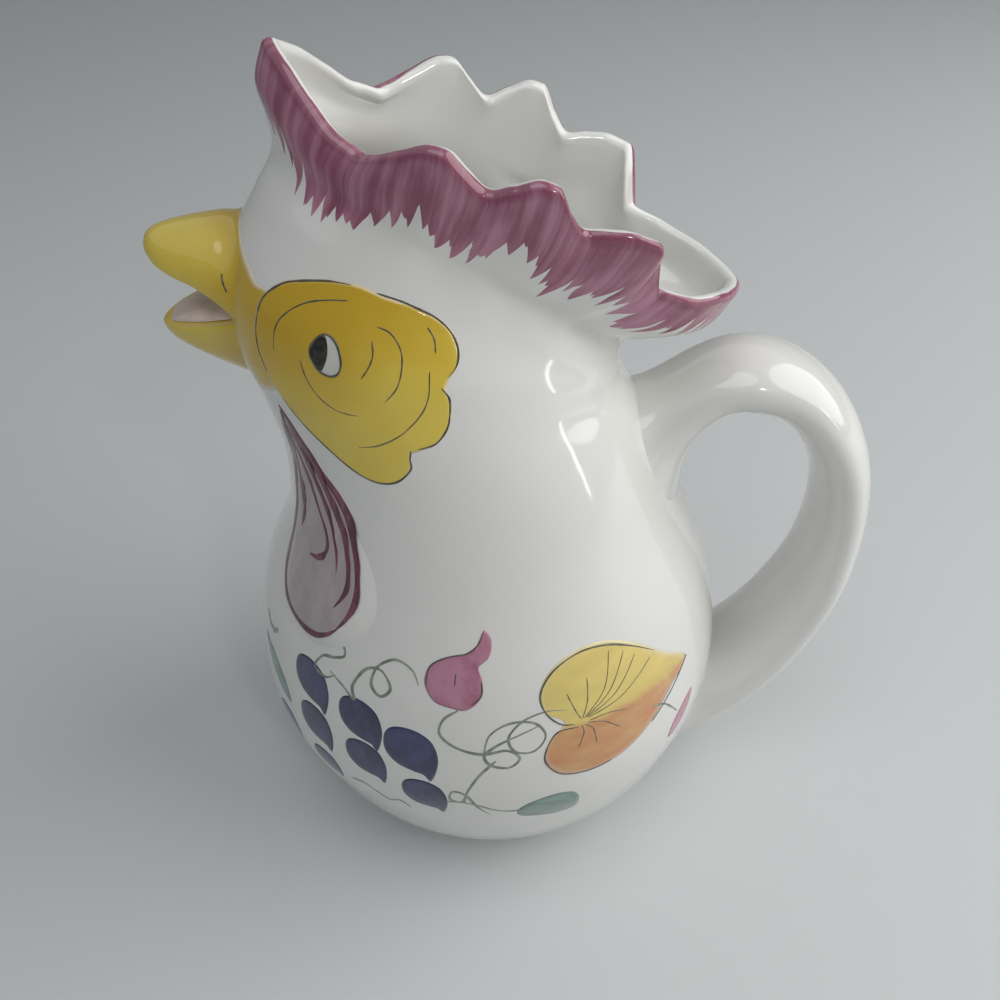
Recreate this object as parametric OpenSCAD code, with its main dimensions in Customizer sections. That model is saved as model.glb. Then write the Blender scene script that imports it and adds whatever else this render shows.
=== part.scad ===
// Rooster pitcher of glazed white earthenware.
// The belly rises into the bird's head, and the open comb is the pouring collar.
// Origin at the centre of the foot on the table, +Z up, beak toward -X, handle toward +X.

/* [Pitcher] */
// Height of the front tip of the comb above the table.
total_height = 260; // [210:1:320]
// Half of the belly's width along the bird, at its widest.
belly_radius = 77.5; // [66:0.5:92]
// Half of the belly's width across the bird, at its widest.
belly_half_breadth = 75; // [64:0.5:90]
// Thickness of the fired wall.
wall_thickness = 4.5; // [3.6:0.1:5.5]
// Thickness of the floor inside.
floor_thickness = 6; // [4:0.5:9]

/* [Foot ring] */
// Height of the ring that the pitcher stands on.
foot_height = 3; // [2:0.5:6]
// Inset of the standing face from the body's lowest edge.
foot_inset = 3; // [1.5:0.25:6]
// Width of the standing face.
foot_face_width = 7; // [4:0.5:12]

/* [Head and comb] */
// Reach of the comb's front tip from the pitcher's axis.
tip_reach = 45.5; // [38:0.5:54]
// Reach of the pointed tail lip from the pitcher's axis.
tail_reach = 71.3; // [62:0.5:82]
// Rise of the tail lip above the back of the head.
tail_rise = 17.5; // [9:0.5:28]
// Half of the mouth's width across the bird.
mouth_half_width = 33; // [28:0.5:39]
// Rise of the tallest comb lobe above the sloping rim line.
lobe_rise = 14; // [6:0.5:20]
// Depth of the flutes that bulge out under the lobes.
flute_depth = 3; // [1:0.25:5]

/* [Handle] */
// Furthest reach of the strap's middle line beyond the belly.
handle_stand_out = 36; // [27:0.5:48]
// Drop of the arch's middle line below the back of the head.
handle_top_drop = 11.8; // [7.6:0.1:20]
// Half of the strap's width across the bird, beside the arch's top.
handle_half_width = 16; // [12:0.5:20]
// Half of the strap's thickness, beside the arch's top.
handle_half_thickness = 9; // [7:0.25:11]

/* [Beak] */
// Length of the beak in front of the head.
beak_length = 19; // [13:0.5:28]
// Half of the beak's width at the corners of the mouth.
beak_half_width = 20; // [16:0.5:22]
// Rise of the upper beak's tip above the mouth corners.
upper_tip_rise = 12.7; // [9:0.1:17]
// Drop of the lower beak's tip below the mouth corners.
lower_tip_drop = 8.3; // [6:0.1:12]
// Height of the upper beak at its root.
upper_beak_height = 20; // [15:0.5:21]
// Depth of the lower beak at its root.
lower_beak_depth = 20; // [15:0.5:24]

/* [Wattles] */
// Drop of each wattle's lowest point below the corners of the mouth.
wattle_drop = 91.8; // [85:0.1:99]
// Length of each wattle from its point down to its round end.
wattle_length = 73; // [60:1:82]
// Half of each wattle's width round the breast.
wattle_half_width = 23; // [16:0.5:26]
// Swell of each wattle above the breast.
wattle_swell = 4.5; // [2.5:0.25:7]

/* [Hidden] */
// Which named piece to draw, or all of them.

// Clearance between a piece and the surface that it is seated on.
seat_gap = 0.15;
// Gap between the two beaks at the corners of the mouth.
mouth_corner_gap = 0.6;
// Band of the lower beak's rim left bare round the tongue.
tongue_margin = 2.6;
// Swell of the tongue's upper face.
tongue_swell = 1.8;
// Sag of the upper beak's under face.
palate_sag = 1.2;
// Thickness of a wattle at its thin edge.
wattle_edge = 0.7;
// Height at which the strap's middle line runs into the belly.
handle_foot_height = 16;
// Rounding under the foot's outer edge.
foot_bevel = 1.2;

// Counts of facets: sides round each form, and rows along it.
body_sides = 48;
body_rows = 26;
lining_rows = 22;
comb_rows = 9;
comb_angle_step = 4;
strap_sides = 24;
strap_rows = 26;
beak_sides = 24;
beak_rows = 10;
wattle_sides = 32;
wattle_rings = 5;
cap_rings = 3;
search_steps = 18;
revolve_sides = 96;

// Colours of the glazes.
glaze_white = "#f1efe9";
comb_plum = "#8c4a66";
beak_yellow = "#c9a128";
mouth_blush = "#e6d3cd";
wattle_mauve = "#cfc0c6";

// Profile of the vessel, one column for each level ring, from the foot up.
// Levels 0 to 10 are the body, and the last four are the comb.
front_reach_shares = [0.568, 0.774, 0.910, 1, 0.935, 0.774, 0.742, 0.781, 0.845, 0.819, 0.690];
back_reach_shares = [0.574, 0.787, 0.929, 1, 0.929, 0.768, 0.652, 0.568, 0.529, 0.523, 0.526];
half_breadth_shares = [0.587, 0.787, 0.920, 1, 0.933, 0.787, 0.680, 0.620, 0.580, 0.540, 0.460];
front_level_shares = [0, 0.054, 0.136, 0.245, 0.374, 0.490, 0.584, 0.658, 0.735, 0.805, 0.868];
back_level_shares = [0, 0.054, 0.136, 0.245, 0.374, 0.490, 0.576, 0.630, 0.654, 0.669, 0.679];
side_lift_shares = [0, 0, 0, 0, 0, 0, 0, 0, 0.002, 0.008, 0.019];
front_pinch_shares = [0, 0, 0, 0, 0, 0, 0, 0, 0, 0, 0.12];
back_pinch_shares = [0, 0, 0, 0, 0, 0, 0, 0, 0, 0, 0.06];

comb_front_reach_shares = [1.044, 1.033, 1.062, 1];
comb_back_reach_shares = [0.604, 0.748, 0.912, 1];
comb_half_width_shares = [0.940, 0.940, 0.970, 1];
comb_front_level_shares = [0.904, 0.931, 0.965, 0.993];
comb_back_level_shares = [0.242, 0.276, 0.409, 0.888];
comb_side_lift_shares = [0.023, 0.015, 0.008, 0];
comb_front_pinch_shares = [0.30, 0.40, 0.50, 0.55];
comb_back_pinch_shares = [0.12, 0.15, 0.20, 0.25];

// Lobes of the comb, by angle round the mouth from the tail lip to the front tip.
lobe_angles = [0, 28, 44, 53.5, 55.5, 58.5, 63, 70, 75.5, 79, 82, 85,
    92, 99, 103, 106.5, 110, 119, 127, 131.5, 138, 148, 160, 180];
lobe_rise_shares = [0, -0.07, -0.18, -0.14, 0.50, 0.76, 0.76, 0.60, 0.43, 0.64, 1, 0.97,
    0.62, 0.29, 0.46, 0.64, 0.57, 0.12, -0.27, -0.40, -0.39, -0.20, 0, 0.10];
flute_shares = [0, 0, -0.2, -1, -0.4, 0.85, 0.6, 0, -0.45, 0, 0.4, 0.3,
    0, -0.4, 0, 0.4, 0.3, 0, -0.1, -0.25, 0, 0, 0, 0];

// Middle line of the handle from the neck over the arch to the belly.
// Reaches are shares of the furthest one, and heights run from the lower end to the arch's top.
handle_reach_shares = [0.370, 0.471, 0.590, 0.695, 0.813, 0.915, 0.983, 1,
    0.964, 0.849, 0.682, 0.528, 0.396];
handle_height_shares = [0.788, 0.865, 0.972, 1, 0.967, 0.880, 0.753, 0.592, 0.422, 0.237, 0.100, 0.030, 0];
handle_width_shares = [1.06, 0.94, 0.91, 0.98, 1, 1.02, 1.05, 1.11, 1.20, 1.31, 1.38, 1.42, 1.44];
handle_thickness_shares = [1.89, 1.39, 1.02, 1.02, 0.99, 0.98, 0.94, 0.93, 0.98, 1.06, 1.17, 1.22, 1.22];

// Outline of the beak from the tips back into the head.
beak_root_reach = belly_radius * 0.665;
beak_reach = belly_radius * front_reach_shares[8] + beak_length;
tongue_first_place = 1.1;
beak_row_power = 1.25;
beak_place_shares = [0, 0.04, 0.12, 0.25, 0.42, 0.60, 0.78, 1];
beak_width_shares = [0.05, 0.15, 0.28, 0.43, 0.59, 0.76, 0.98, 1.25];
upper_line_shares = [1, 0.95, 0.80, 0.65, 0.51, 0.28, 0, 0];
upper_height_shares = [0.03, 0.15, 0.32, 0.47, 0.62, 0.80, 1, 1.25];
lower_line_shares = [1, 0.95, 0.85, 0.72, 0.55, 0.28, 0, 0];
lower_depth_shares = [0.02, 0.10, 0.20, 0.34, 0.55, 0.78, 1.03, 1.30];
tongue_swell_shares = [0.3, 0.5, 0.8, 1, 1, 0.8, 0.5, 0.3];

// Drop outline of a wattle, on a middle line at this angle from the tail.
wattle_middle_angle = 140;
wattle_taper = 2;
wattle_widest_share = 0.65;
wattle_centre_share = 0.32;
wattle_soft_power = 0.8;

// Last level of the body, and of the whole vessel.
joint_level = len(front_reach_shares) - 1;
rim_level = joint_level + len(comb_front_reach_shares);
floor_level = 0.45;
// Turn of the lining into the floor: share of the lowest ring's reach, and of its height.
floor_curve_shares = [[0.93, 0.3], [0.80, 0]];
level_probe = 0.02;
angle_probe = 1;
// How soon the lobes grow from the joint to the rim.
lobe_growth_power = 1.5;
// Highest level that a seat is looked for on.
seat_level_limit = joint_level + 2;
// Stretch of the handle's tables in which each end meets the vessel.
handle_seat_span = 3.5;

// Height of the rising part of the vessel, above the foot ring.
rise = total_height - foot_height;

// Height of the head's back edge, where the comb starts.
head_back_height = foot_height + rise * back_level_shares[joint_level];

// Height of the corners of the mouth.
mouth_corner_share = 0.762;
mouth_corner_height = foot_height + rise * mouth_corner_share;

// One ring: front reach and height, back reach and height, half breadth, pinches and lift.
body_levels = [for (k = [0 : joint_level]) [
    belly_radius * front_reach_shares[k],
    foot_height + rise * front_level_shares[k],
    belly_radius * back_reach_shares[k],
    foot_height + rise * back_level_shares[k],
    belly_half_breadth * half_breadth_shares[k],
    front_pinch_shares[k],
    back_pinch_shares[k],
    rise * side_lift_shares[k]]];
comb_levels = [for (k = [0 : len(comb_front_reach_shares) - 1]) [
    tip_reach * comb_front_reach_shares[k],
    foot_height + rise * comb_front_level_shares[k],
    tail_reach * comb_back_reach_shares[k],
    head_back_height + tail_rise * comb_back_level_shares[k],
    mouth_half_width * comb_half_width_shares[k],
    comb_front_pinch_shares[k],
    comb_back_pinch_shares[k],
    rise * comb_side_lift_shares[k]]];
levels = concat(body_levels, comb_levels);

// Cubic through four neighbours of a table.
function blend(a, b, c, d, u) =
    0.5 * (2 * b + u * (c - a) + u * u * (2 * a - 5 * b + 4 * c - d) + u * u * u * (3 * b - a - 3 * c + d));

// Smooth value of a table at a fractional place.
function along(table, place) =
    let (last = len(table) - 1, k = max(0, min(last - 1, floor(place))))
    blend(table[max(0, k - 1)], table[k], table[k + 1], table[min(last, k + 2)], place - k);

// Slope of a table of lobes between two neighbours, and at one of them.
function lobe_slope(table, k) = (table[k + 1] - table[k]) / (lobe_angles[k + 1] - lobe_angles[k]);
function lobe_lean(table, k) =
    k == 0 || k == len(table) - 1 ? 0 :
    let (before = lobe_slope(table, k - 1), after = lobe_slope(table, k))
    before * after <= 0 ? 0 : 2 * before * after / (before + after);

// Value of a table of lobes at an angle, with no overshoot between its points.
function lobe_value(table, angle) =
    let (found = [for (i = [0 : len(lobe_angles) - 2]) if (angle >= lobe_angles[i]) i],
        k = found[len(found) - 1],
        span = lobe_angles[k + 1] - lobe_angles[k],
        u = (angle - lobe_angles[k]) / span)
    (1 + 2 * u) * (1 - u) * (1 - u) * table[k] + u * u * (3 - 2 * u) * table[k + 1]
    + span * u * (1 - u) * ((1 - u) * lobe_lean(table, k) - u * lobe_lean(table, k + 1));

// Angle from the tail lip, 0 to 180, whichever side it lies on.
function tail_angle(angle) = let (a = angle % 360) a > 180 ? 360 - a : a;

// Share of the comb's lobes that shows at a level.
function lobe_growth(level) =
    pow(max(0, min(1, (level - joint_level) / (rim_level - joint_level))), lobe_growth_power);

// Sine drawn to a point at the front or the back of a ring.
function pinched_sine(angle, front, back) =
    let (c = cos(angle), power = 1 + abs(c) * (c < 0 ? front : back))
    sign(sin(angle)) * pow(abs(sin(angle)), power);

// Point of the outer surface at a level and an angle, 0 at the back.
function outer_point(level, angle) =
    let (r = along(levels, level),
        growth = lobe_growth(level),
        at = tail_angle(angle),
        flute = growth > 0 ? growth * flute_depth * lobe_value(flute_shares, at) : 0,
        lobe = growth > 0 ? growth * lobe_rise * lobe_value(lobe_rise_shares, at) : 0,
        middle = (r[2] - r[0]) / 2,
        reach = (r[2] + r[0]) / 2)
    [middle + (reach + flute) * cos(angle),
        (r[4] + flute) * pinched_sine(angle, r[5], r[6]),
        (r[1] + r[3]) / 2 + (r[3] - r[1]) / 2 * cos(angle) + r[7] * pow(sin(angle), 2) + lobe];

// Frame of the wall there: the outward direction in plan and the rise along the wall.
function wall_out(level, angle) =
    let (r = along(levels, level), p = outer_point(level, angle),
        d = [p[0] - (r[2] - r[0]) / 2, p[1]])
    d / norm(d);
function wall_rise(level, angle) =
    let (low = outer_point(level - level_probe, angle), high = outer_point(level + level_probe, angle),
        out = wall_out(level, angle),
        climb = [(high - low)[0] * out[0] + (high - low)[1] * out[1], (high - low)[2]])
    climb / norm(climb);

// Point of the inner surface, one wall inside the outer one.
function inner_point(level, angle) =
    let (out = wall_out(level, angle), climb = wall_rise(level, angle))
    outer_point(level, angle)
    + wall_thickness * [-climb[1] * out[0], -climb[1] * out[1], climb[0]];

// Same point moved a little way up the wall.
function up_the_wall(point, level, angle, distance) =
    let (out = wall_out(level, angle), climb = wall_rise(level, angle))
    point + distance * [climb[0] * out[0], climb[0] * out[1], climb[1]];

// Level and angle at which the front or back surface passes a height, at a given breadth.
function side_angle(level, y, front) =
    let (r = along(levels, level),
        plain = max(-1, min(1, y / r[4])),
        power = 1 + sqrt(1 - plain * plain) * (front ? r[5] : r[6]),
        s = sign(plain) * pow(abs(plain), 1 / power))
    front ? 180 - asin(s) : asin(s);
function level_at(y, z, front, low = 0, high = seat_level_limit, steps = search_steps) =
    let (middle = (low + high) / 2)
    steps == 0 ? middle :
    outer_point(middle, side_angle(middle, y, front))[2] < z
        ? level_at(y, z, front, middle, high, steps - 1)
        : level_at(y, z, front, low, middle, steps - 1);
function surface_x(y, z, front) =
    let (level = level_at(y, z, front))
    outer_point(level, side_angle(level, y, front))[0];

// Level at which the outer surface passes a height, at a given angle.
function level_of_height(angle, z, low = 0, high = seat_level_limit, steps = search_steps) =
    let (middle = (low + high) / 2)
    steps == 0 ? middle :
    outer_point(middle, angle)[2] < z
        ? level_of_height(angle, z, middle, high, steps - 1)
        : level_of_height(angle, z, low, middle, steps - 1);

// Point that stands off the body along its surface normal.
function stand_off(level, angle, distance) =
    let (up = outer_point(level + level_probe, angle) - outer_point(level - level_probe, angle),
        round = outer_point(level, angle + angle_probe) - outer_point(level, angle - angle_probe),
        normal = cross(round, up))
    outer_point(level, angle) + distance * normal / norm(normal);

// Closed solid through a stack of rings, from one end point to the other.
module skin(start, rings, end) {
    sides = len(rings[0]);
    last = 1 + len(rings) * sides;
    points = concat([start], [for (ring = rings) each ring], [end]);
    start_fan = [for (i = [0 : sides - 1]) [0, 1 + i, 1 + (i + 1) % sides]];
    walls = [for (k = [0 : len(rings) - 2], i = [0 : sides - 1])
        let (a = 1 + k * sides + i, b = 1 + k * sides + (i + 1) % sides)
        each [[a, a + sides, b], [b, a + sides, b + sides]]];
    end_fan = [for (i = [0 : sides - 1]) [last, last - sides + (i + 1) % sides, last - sides + i]];
    polyhedron(points = points, faces = concat(start_fan, walls, end_fan), convexity = 10);
}

// Closed tube-like solid through rings that come back to the first one.
module loop_skin(rings) {
    sides = len(rings[0]);
    count = len(rings);
    faces = [for (k = [0 : count - 1], i = [0 : sides - 1])
        let (a = k * sides + i, b = k * sides + (i + 1) % sides,
            c = ((k + 1) % count) * sides + i, d = ((k + 1) % count) * sides + (i + 1) % sides)
        each [[a, c, b], [b, c, d]]];
    polyhedron(points = [for (ring = rings) each ring], faces = faces, convexity = 10);
}

// Angles round the body, evenly spaced.
body_angles = [for (i = [0 : body_sides - 1]) 360 * i / body_sides];

// Angles round the comb, closer where its lobes turn.
half_comb_angles = [for (k = [0 : len(lobe_angles) - 2])
    let (span = lobe_angles[k + 1] - lobe_angles[k], parts = ceil(span / comb_angle_step))
    each [for (i = [0 : parts - 1]) lobe_angles[k] + span * i / parts]];
comb_angles = concat(half_comb_angles, [180],
    [for (i = [len(half_comb_angles) - 1 : -1 : 1]) 360 - half_comb_angles[i]]);

// Hollow vessel: outer wall, top edge, lining and floor in one skin.
module body() {
    outer_rings = [for (k = [0 : body_rows])
        [for (a = body_angles) outer_point(joint_level * k / body_rows, a)]];
    lining = [for (k = [0 : lining_rows])
        let (level = joint_level + (floor_level - joint_level) * k / lining_rows)
        [for (a = body_angles) inner_point(level, a)]];
    lowest = lining[lining_rows];
    floor_height = foot_height + floor_thickness;
    floor_rings = [for (shares = floor_curve_shares) [for (p = lowest)
        [p[0] * shares[0], p[1] * shares[0], floor_height + (p[2] - floor_height) * shares[1]]]];
    color(glaze_white)
        skin([0, 0, foot_height], concat(outer_rings, lining, floor_rings), [0, 0, floor_height]);
}

// Scalloped and fluted collar with a rolled lip, from the joint up to the rim.
module comb() {
    walls = [for (k = [0 : comb_rows]) joint_level + (rim_level - joint_level) * k / comb_rows];
    outer_rings = [for (level = walls) [for (a = comb_angles)
        up_the_wall(outer_point(level, a), level, a, level == joint_level ? seat_gap : 0)]];
    inner_rings = [for (k = [comb_rows : -1 : 0]) [for (a = comb_angles)
        up_the_wall(inner_point(walls[k], a), walls[k], a, k == 0 ? seat_gap : 0)]];
    lip_angles = [45, 90, 135];
    lip_rings = [for (turn = lip_angles) [for (a = comb_angles)
        let (out = outer_point(rim_level, a), in = inner_point(rim_level, a))
        up_the_wall((out + in) / 2 + (out - in) / 2 * cos(turn),
            rim_level, a, wall_thickness / 2 * sin(turn))]];
    color(comb_plum) loop_skin(concat(outer_rings, lip_rings, inner_rings));
}

// Middle line, half width and half thickness of the handle at a place on its tables.
handle_reach = belly_radius + handle_stand_out;
handle_top_height = head_back_height - handle_top_drop;
handle_stations = [for (k = [0 : len(handle_reach_shares) - 1]) [
    handle_reach * handle_reach_shares[k],
    handle_foot_height + (handle_top_height - handle_foot_height) * handle_height_shares[k],
    handle_half_width * handle_width_shares[k],
    handle_half_thickness * handle_thickness_shares[k]]];

// Point of the strap at a place along it and an angle round it.
function strap_point(place, turn) =
    let (s = along(handle_stations, place),
        ahead = along(handle_stations, place + level_probe) - along(handle_stations, place - level_probe),
        run = [ahead[0], ahead[1]] / norm([ahead[0], ahead[1]]))
    [s[0] - run[1] * s[3] * cos(turn), -s[2] * sin(turn), s[1] + run[0] * s[3] * cos(turn)];

// How far a point stands clear of the vessel's back.
function back_clearance(p) = p[0] - surface_x(p[1], p[2], false) - seat_gap;

// Place where one line of the strap meets the vessel, between a place inside and one outside.
function strap_seat(turn, inside, outside, steps = search_steps) =
    let (middle = (inside + outside) / 2)
    steps == 0 ? middle :
    back_clearance(strap_point(middle, turn)) < 0
        ? strap_seat(turn, middle, outside, steps - 1)
        : strap_seat(turn, inside, middle, steps - 1);

// Rings that close an end on the vessel's back or front, from its edge in to its middle.
function seat_middle(ring) = [for (k = [0 : 2]) [for (p = ring) p[k]] * [for (p = ring) 1] / len(ring)];
function seat_point(ring, share, i, front) =
    let (m = seat_middle(ring),
        y = m[1] + (ring[i][1] - m[1]) * share,
        z = m[2] + (ring[i][2] - m[2]) * share)
    [surface_x(y, z, front) + (front ? -seat_gap : seat_gap), y, z];
function seat_ring(ring, share, front) = [for (i = [0 : len(ring) - 1]) seat_point(ring, share, i, front)];
function seat_centre(ring, front) =
    let (m = seat_middle(ring))
    [surface_x(m[1], m[2], front) + (front ? -seat_gap : seat_gap), m[1], m[2]];

// Oval strap handle, its two ends fitted to the neck and the belly.
module handle() {
    turns = [for (i = [0 : strap_sides - 1]) 360 * i / strap_sides];
    last = len(handle_stations) - 1;
    starts = [for (turn = turns) strap_seat(turn, 0, handle_seat_span)];
    ends = [for (turn = turns) strap_seat(turn, last, last - handle_seat_span)];
    rings = [for (k = [0 : strap_rows]) [for (i = [0 : strap_sides - 1])
        strap_point(starts[i] + (ends[i] - starts[i]) * k / strap_rows, turns[i])]];
    top_caps = [for (k = [1 : cap_rings]) seat_ring(rings[0], k / (cap_rings + 1), false)];
    low_caps = [for (k = [cap_rings : -1 : 1]) seat_ring(rings[strap_rows], k / (cap_rings + 1), false)];
    color(glaze_white)
        skin(seat_centre(rings[0], false), concat(top_caps, rings, low_caps),
            seat_centre(rings[strap_rows], false));
}

// Point of a beak at a place along it and a turn round it.
// The line is the mouth edge, with the upper and lower swells above and below it.
function beak_point(place, turn, half_width, line, upper, lower) = [
    -beak_root_reach - (beak_reach - beak_root_reach) * (1 - along(beak_place_shares, place)),
    -half_width * sin(turn),
    line + (cos(turn) > 0 ? upper : lower) * cos(turn)];
function beak_width(place) = beak_half_width * along(beak_width_shares, place);
function upper_beak_point(place, turn) = beak_point(place, turn, beak_width(place),
    mouth_corner_height + mouth_corner_gap / 2 + upper_tip_rise * along(upper_line_shares, place),
    upper_beak_height * along(upper_height_shares, place),
    palate_sag * along(beak_width_shares, place));
function lower_line(place) =
    mouth_corner_height - mouth_corner_gap / 2 - lower_tip_drop * along(lower_line_shares, place);
function lower_beak_point(place, turn) = beak_point(place, turn, beak_width(place),
    lower_line(place), 0, lower_beak_depth * along(lower_depth_shares, place));
function tongue_point(place, turn) = beak_point(place, turn, beak_width(place) - tongue_margin,
    lower_line(place) + seat_gap, tongue_swell * along(tongue_swell_shares, place), 0);
function mouth_point(part, place, turn) =
    part == "upper" ? upper_beak_point(place, turn) :
    part == "lower" ? lower_beak_point(place, turn) : tongue_point(place, turn);

// Place where one line of a beak meets the head.
function front_clearance(p) = surface_x(p[1], p[2], true) - seat_gap - p[0];
function beak_seat(part, turn, outside, inside, steps = search_steps) =
    let (middle = (inside + outside) / 2)
    steps == 0 ? middle :
    front_clearance(mouth_point(part, middle, turn)) > 0
        ? beak_seat(part, turn, middle, inside, steps - 1)
        : beak_seat(part, turn, outside, middle, steps - 1);

// Solid from a tip back to the head, its root fitted to the head's front.
module mouth_piece(part, first) {
    turns = [for (i = [0 : beak_sides - 1]) 360 * i / beak_sides];
    last = len(beak_place_shares) - 1;
    seats = [for (turn = turns) beak_seat(part, turn, first, last)];
    rings = [for (k = [0 : beak_rows]) [for (i = [0 : beak_sides - 1])
        mouth_point(part, first + (seats[i] - first) * pow(k / beak_rows, beak_row_power), turns[i])]];
    caps = [for (k = [cap_rings : -1 : 1]) seat_ring(rings[beak_rows], k / (cap_rings + 1), true)];
    skin(seat_middle(rings[0]), concat(rings, caps), seat_centre(rings[beak_rows], true));
}

module upper_beak() {
    color(beak_yellow) mouth_piece("upper", 0);
}

module lower_beak() {
    color(beak_yellow) mouth_piece("lower", 0);
}

// Pale lining of the open mouth, a low pad on the lower beak.
module tongue() {
    color(mouth_blush) mouth_piece("tongue", tongue_first_place);
}

// Height of each wattle's lowest point.
wattle_foot_height = mouth_corner_height - wattle_drop;

// Point of a wattle's drop outline: across and up, from the round foot over the point.
function wattle_edge_point(turn) =
    let (drop = sin(turn) * pow(abs(cos(turn / 2)), wattle_taper))
    [wattle_half_width * drop / wattle_widest_share, wattle_length * (1 - cos(turn)) / 2];

// Point of a wattle at a share from its middle to its edge, standing off the breast.
function wattle_point(side, share, turn, lift) =
    let (edge = wattle_edge_point(turn),
        centre = [0, wattle_length * wattle_centre_share],
        place = centre + (edge - centre) * share,
        height = wattle_foot_height + place[1],
        middle_level = level_of_height(side * wattle_middle_angle, height),
        angle = side * (wattle_middle_angle - place[0] / along(levels, middle_level)[4] * 180 / PI),
        level = level_of_height(angle, height))
    stand_off(level, angle, seat_gap + lift);

// Swell of a wattle over the breast at a share from its middle to its edge.
function wattle_lift(share) =
    wattle_edge + (wattle_swell - wattle_edge) * pow(1 - share * share, wattle_soft_power);

// Drop-shaped pad swelling from the breast, on one side of it.
module wattle(side) {
    turns = [for (i = [0 : wattle_sides - 1]) 360 * (i + 0.5) / wattle_sides];
    upper_rings = [for (k = [1 : wattle_rings])
        [for (turn = turns) wattle_point(side, k / wattle_rings, turn, wattle_lift(k / wattle_rings))]];
    lower_rings = [for (k = [wattle_rings : -1 : 1])
        [for (turn = turns) wattle_point(side, k / wattle_rings, turn, 0)]];
    outward = concat(upper_rings, lower_rings);
    inward = [for (k = [len(outward) - 1 : -1 : 0]) outward[k]];
    top = wattle_point(side, 0, 0, wattle_swell);
    bottom = wattle_point(side, 0, 0, 0);
    color(wattle_mauve) skin(side < 0 ? top : bottom, side < 0 ? outward : inward, side < 0 ? bottom : top);
}

module left_wattle() {
    wattle(-1);
}

module right_wattle() {
    wattle(1);
}

// Raised ring that the pitcher stands on, flush with the vessel's lowest edge.
module foot_ring() {
    flush_radius = min(belly_radius * front_reach_shares[0], belly_half_breadth * half_breadth_shares[0]);
    foot_radius = flush_radius - foot_inset;
    inner_radius = foot_radius - foot_face_width;
    color(glaze_white) rotate_extrude($fn = revolve_sides)
        polygon([
            [inner_radius, 0],
            [foot_radius - foot_bevel, 0],
            [foot_radius, foot_bevel],
            [flush_radius, foot_height],
            [inner_radius, foot_height]]);
}

body();
comb();
handle();
upper_beak();
lower_beak();
tongue();
left_wattle();
right_wattle();
foot_ring();
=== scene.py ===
from math import cos, pi, radians, sin

import bpy
import numpy as np
from bpy.props import FloatProperty, FloatVectorProperty, PointerProperty
from bpy.types import Operator, Panel, PropertyGroup
from mathutils import Matrix, Vector


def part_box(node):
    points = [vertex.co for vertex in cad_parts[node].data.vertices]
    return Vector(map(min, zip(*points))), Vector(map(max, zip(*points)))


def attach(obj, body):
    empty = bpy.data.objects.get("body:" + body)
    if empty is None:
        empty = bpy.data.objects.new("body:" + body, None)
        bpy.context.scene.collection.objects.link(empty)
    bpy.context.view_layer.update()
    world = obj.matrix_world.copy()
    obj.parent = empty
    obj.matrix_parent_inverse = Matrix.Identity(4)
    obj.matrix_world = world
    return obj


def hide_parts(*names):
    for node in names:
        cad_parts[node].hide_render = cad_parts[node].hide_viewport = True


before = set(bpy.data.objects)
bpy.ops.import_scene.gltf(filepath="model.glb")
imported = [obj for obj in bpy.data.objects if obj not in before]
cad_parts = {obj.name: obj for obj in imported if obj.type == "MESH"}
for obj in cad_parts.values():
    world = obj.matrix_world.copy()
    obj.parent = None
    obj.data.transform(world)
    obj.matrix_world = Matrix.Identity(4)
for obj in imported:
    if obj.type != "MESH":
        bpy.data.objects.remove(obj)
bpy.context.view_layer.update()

bl_info = {
    "name": "Rooster Pitcher",
    "version": (1, 0, 0),
    "blender": (4, 5, 0),
    "location": "View3D > Sidebar > Rooster Pitcher",
    "description": "Glazed earthenware rooster pitcher with a painted comb, face, wattles and vine",
    "category": "Object",
}

MM = 0.001

# Profile of the vessel, one column for each level ring, from the foot up.
FRONT_REACH = [0.568, 0.774, 0.910, 1, 0.935, 0.774, 0.742, 0.781, 0.845, 0.819, 0.690]
BACK_REACH = [0.574, 0.787, 0.929, 1, 0.929, 0.768, 0.652, 0.568, 0.529, 0.523, 0.526]
HALF_BREADTH = [0.587, 0.787, 0.920, 1, 0.933, 0.787, 0.680, 0.620, 0.580, 0.540, 0.460]
FRONT_LEVEL = [0, 0.054, 0.136, 0.245, 0.374, 0.490, 0.584, 0.658, 0.735, 0.805, 0.868]
BACK_LEVEL = [0, 0.054, 0.136, 0.245, 0.374, 0.490, 0.576, 0.630, 0.654, 0.669, 0.679]
SIDE_LIFT = [0, 0, 0, 0, 0, 0, 0, 0, 0.002, 0.008, 0.019]
FRONT_PINCH = [0] * 10 + [0.12]
BACK_PINCH = [0] * 10 + [0.06]

COMB_FRONT_REACH = [1.044, 1.033, 1.062, 1]
COMB_BACK_REACH = [0.604, 0.748, 0.912, 1]
COMB_HALF_WIDTH = [0.940, 0.940, 0.970, 1]
COMB_FRONT_LEVEL = [0.904, 0.931, 0.965, 0.993]
COMB_BACK_LEVEL = [0.242, 0.276, 0.409, 0.888]
COMB_SIDE_LIFT = [0.023, 0.015, 0.008, 0]
COMB_FRONT_PINCH = [0.30, 0.40, 0.50, 0.55]
COMB_BACK_PINCH = [0.12, 0.15, 0.20, 0.25]

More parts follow.
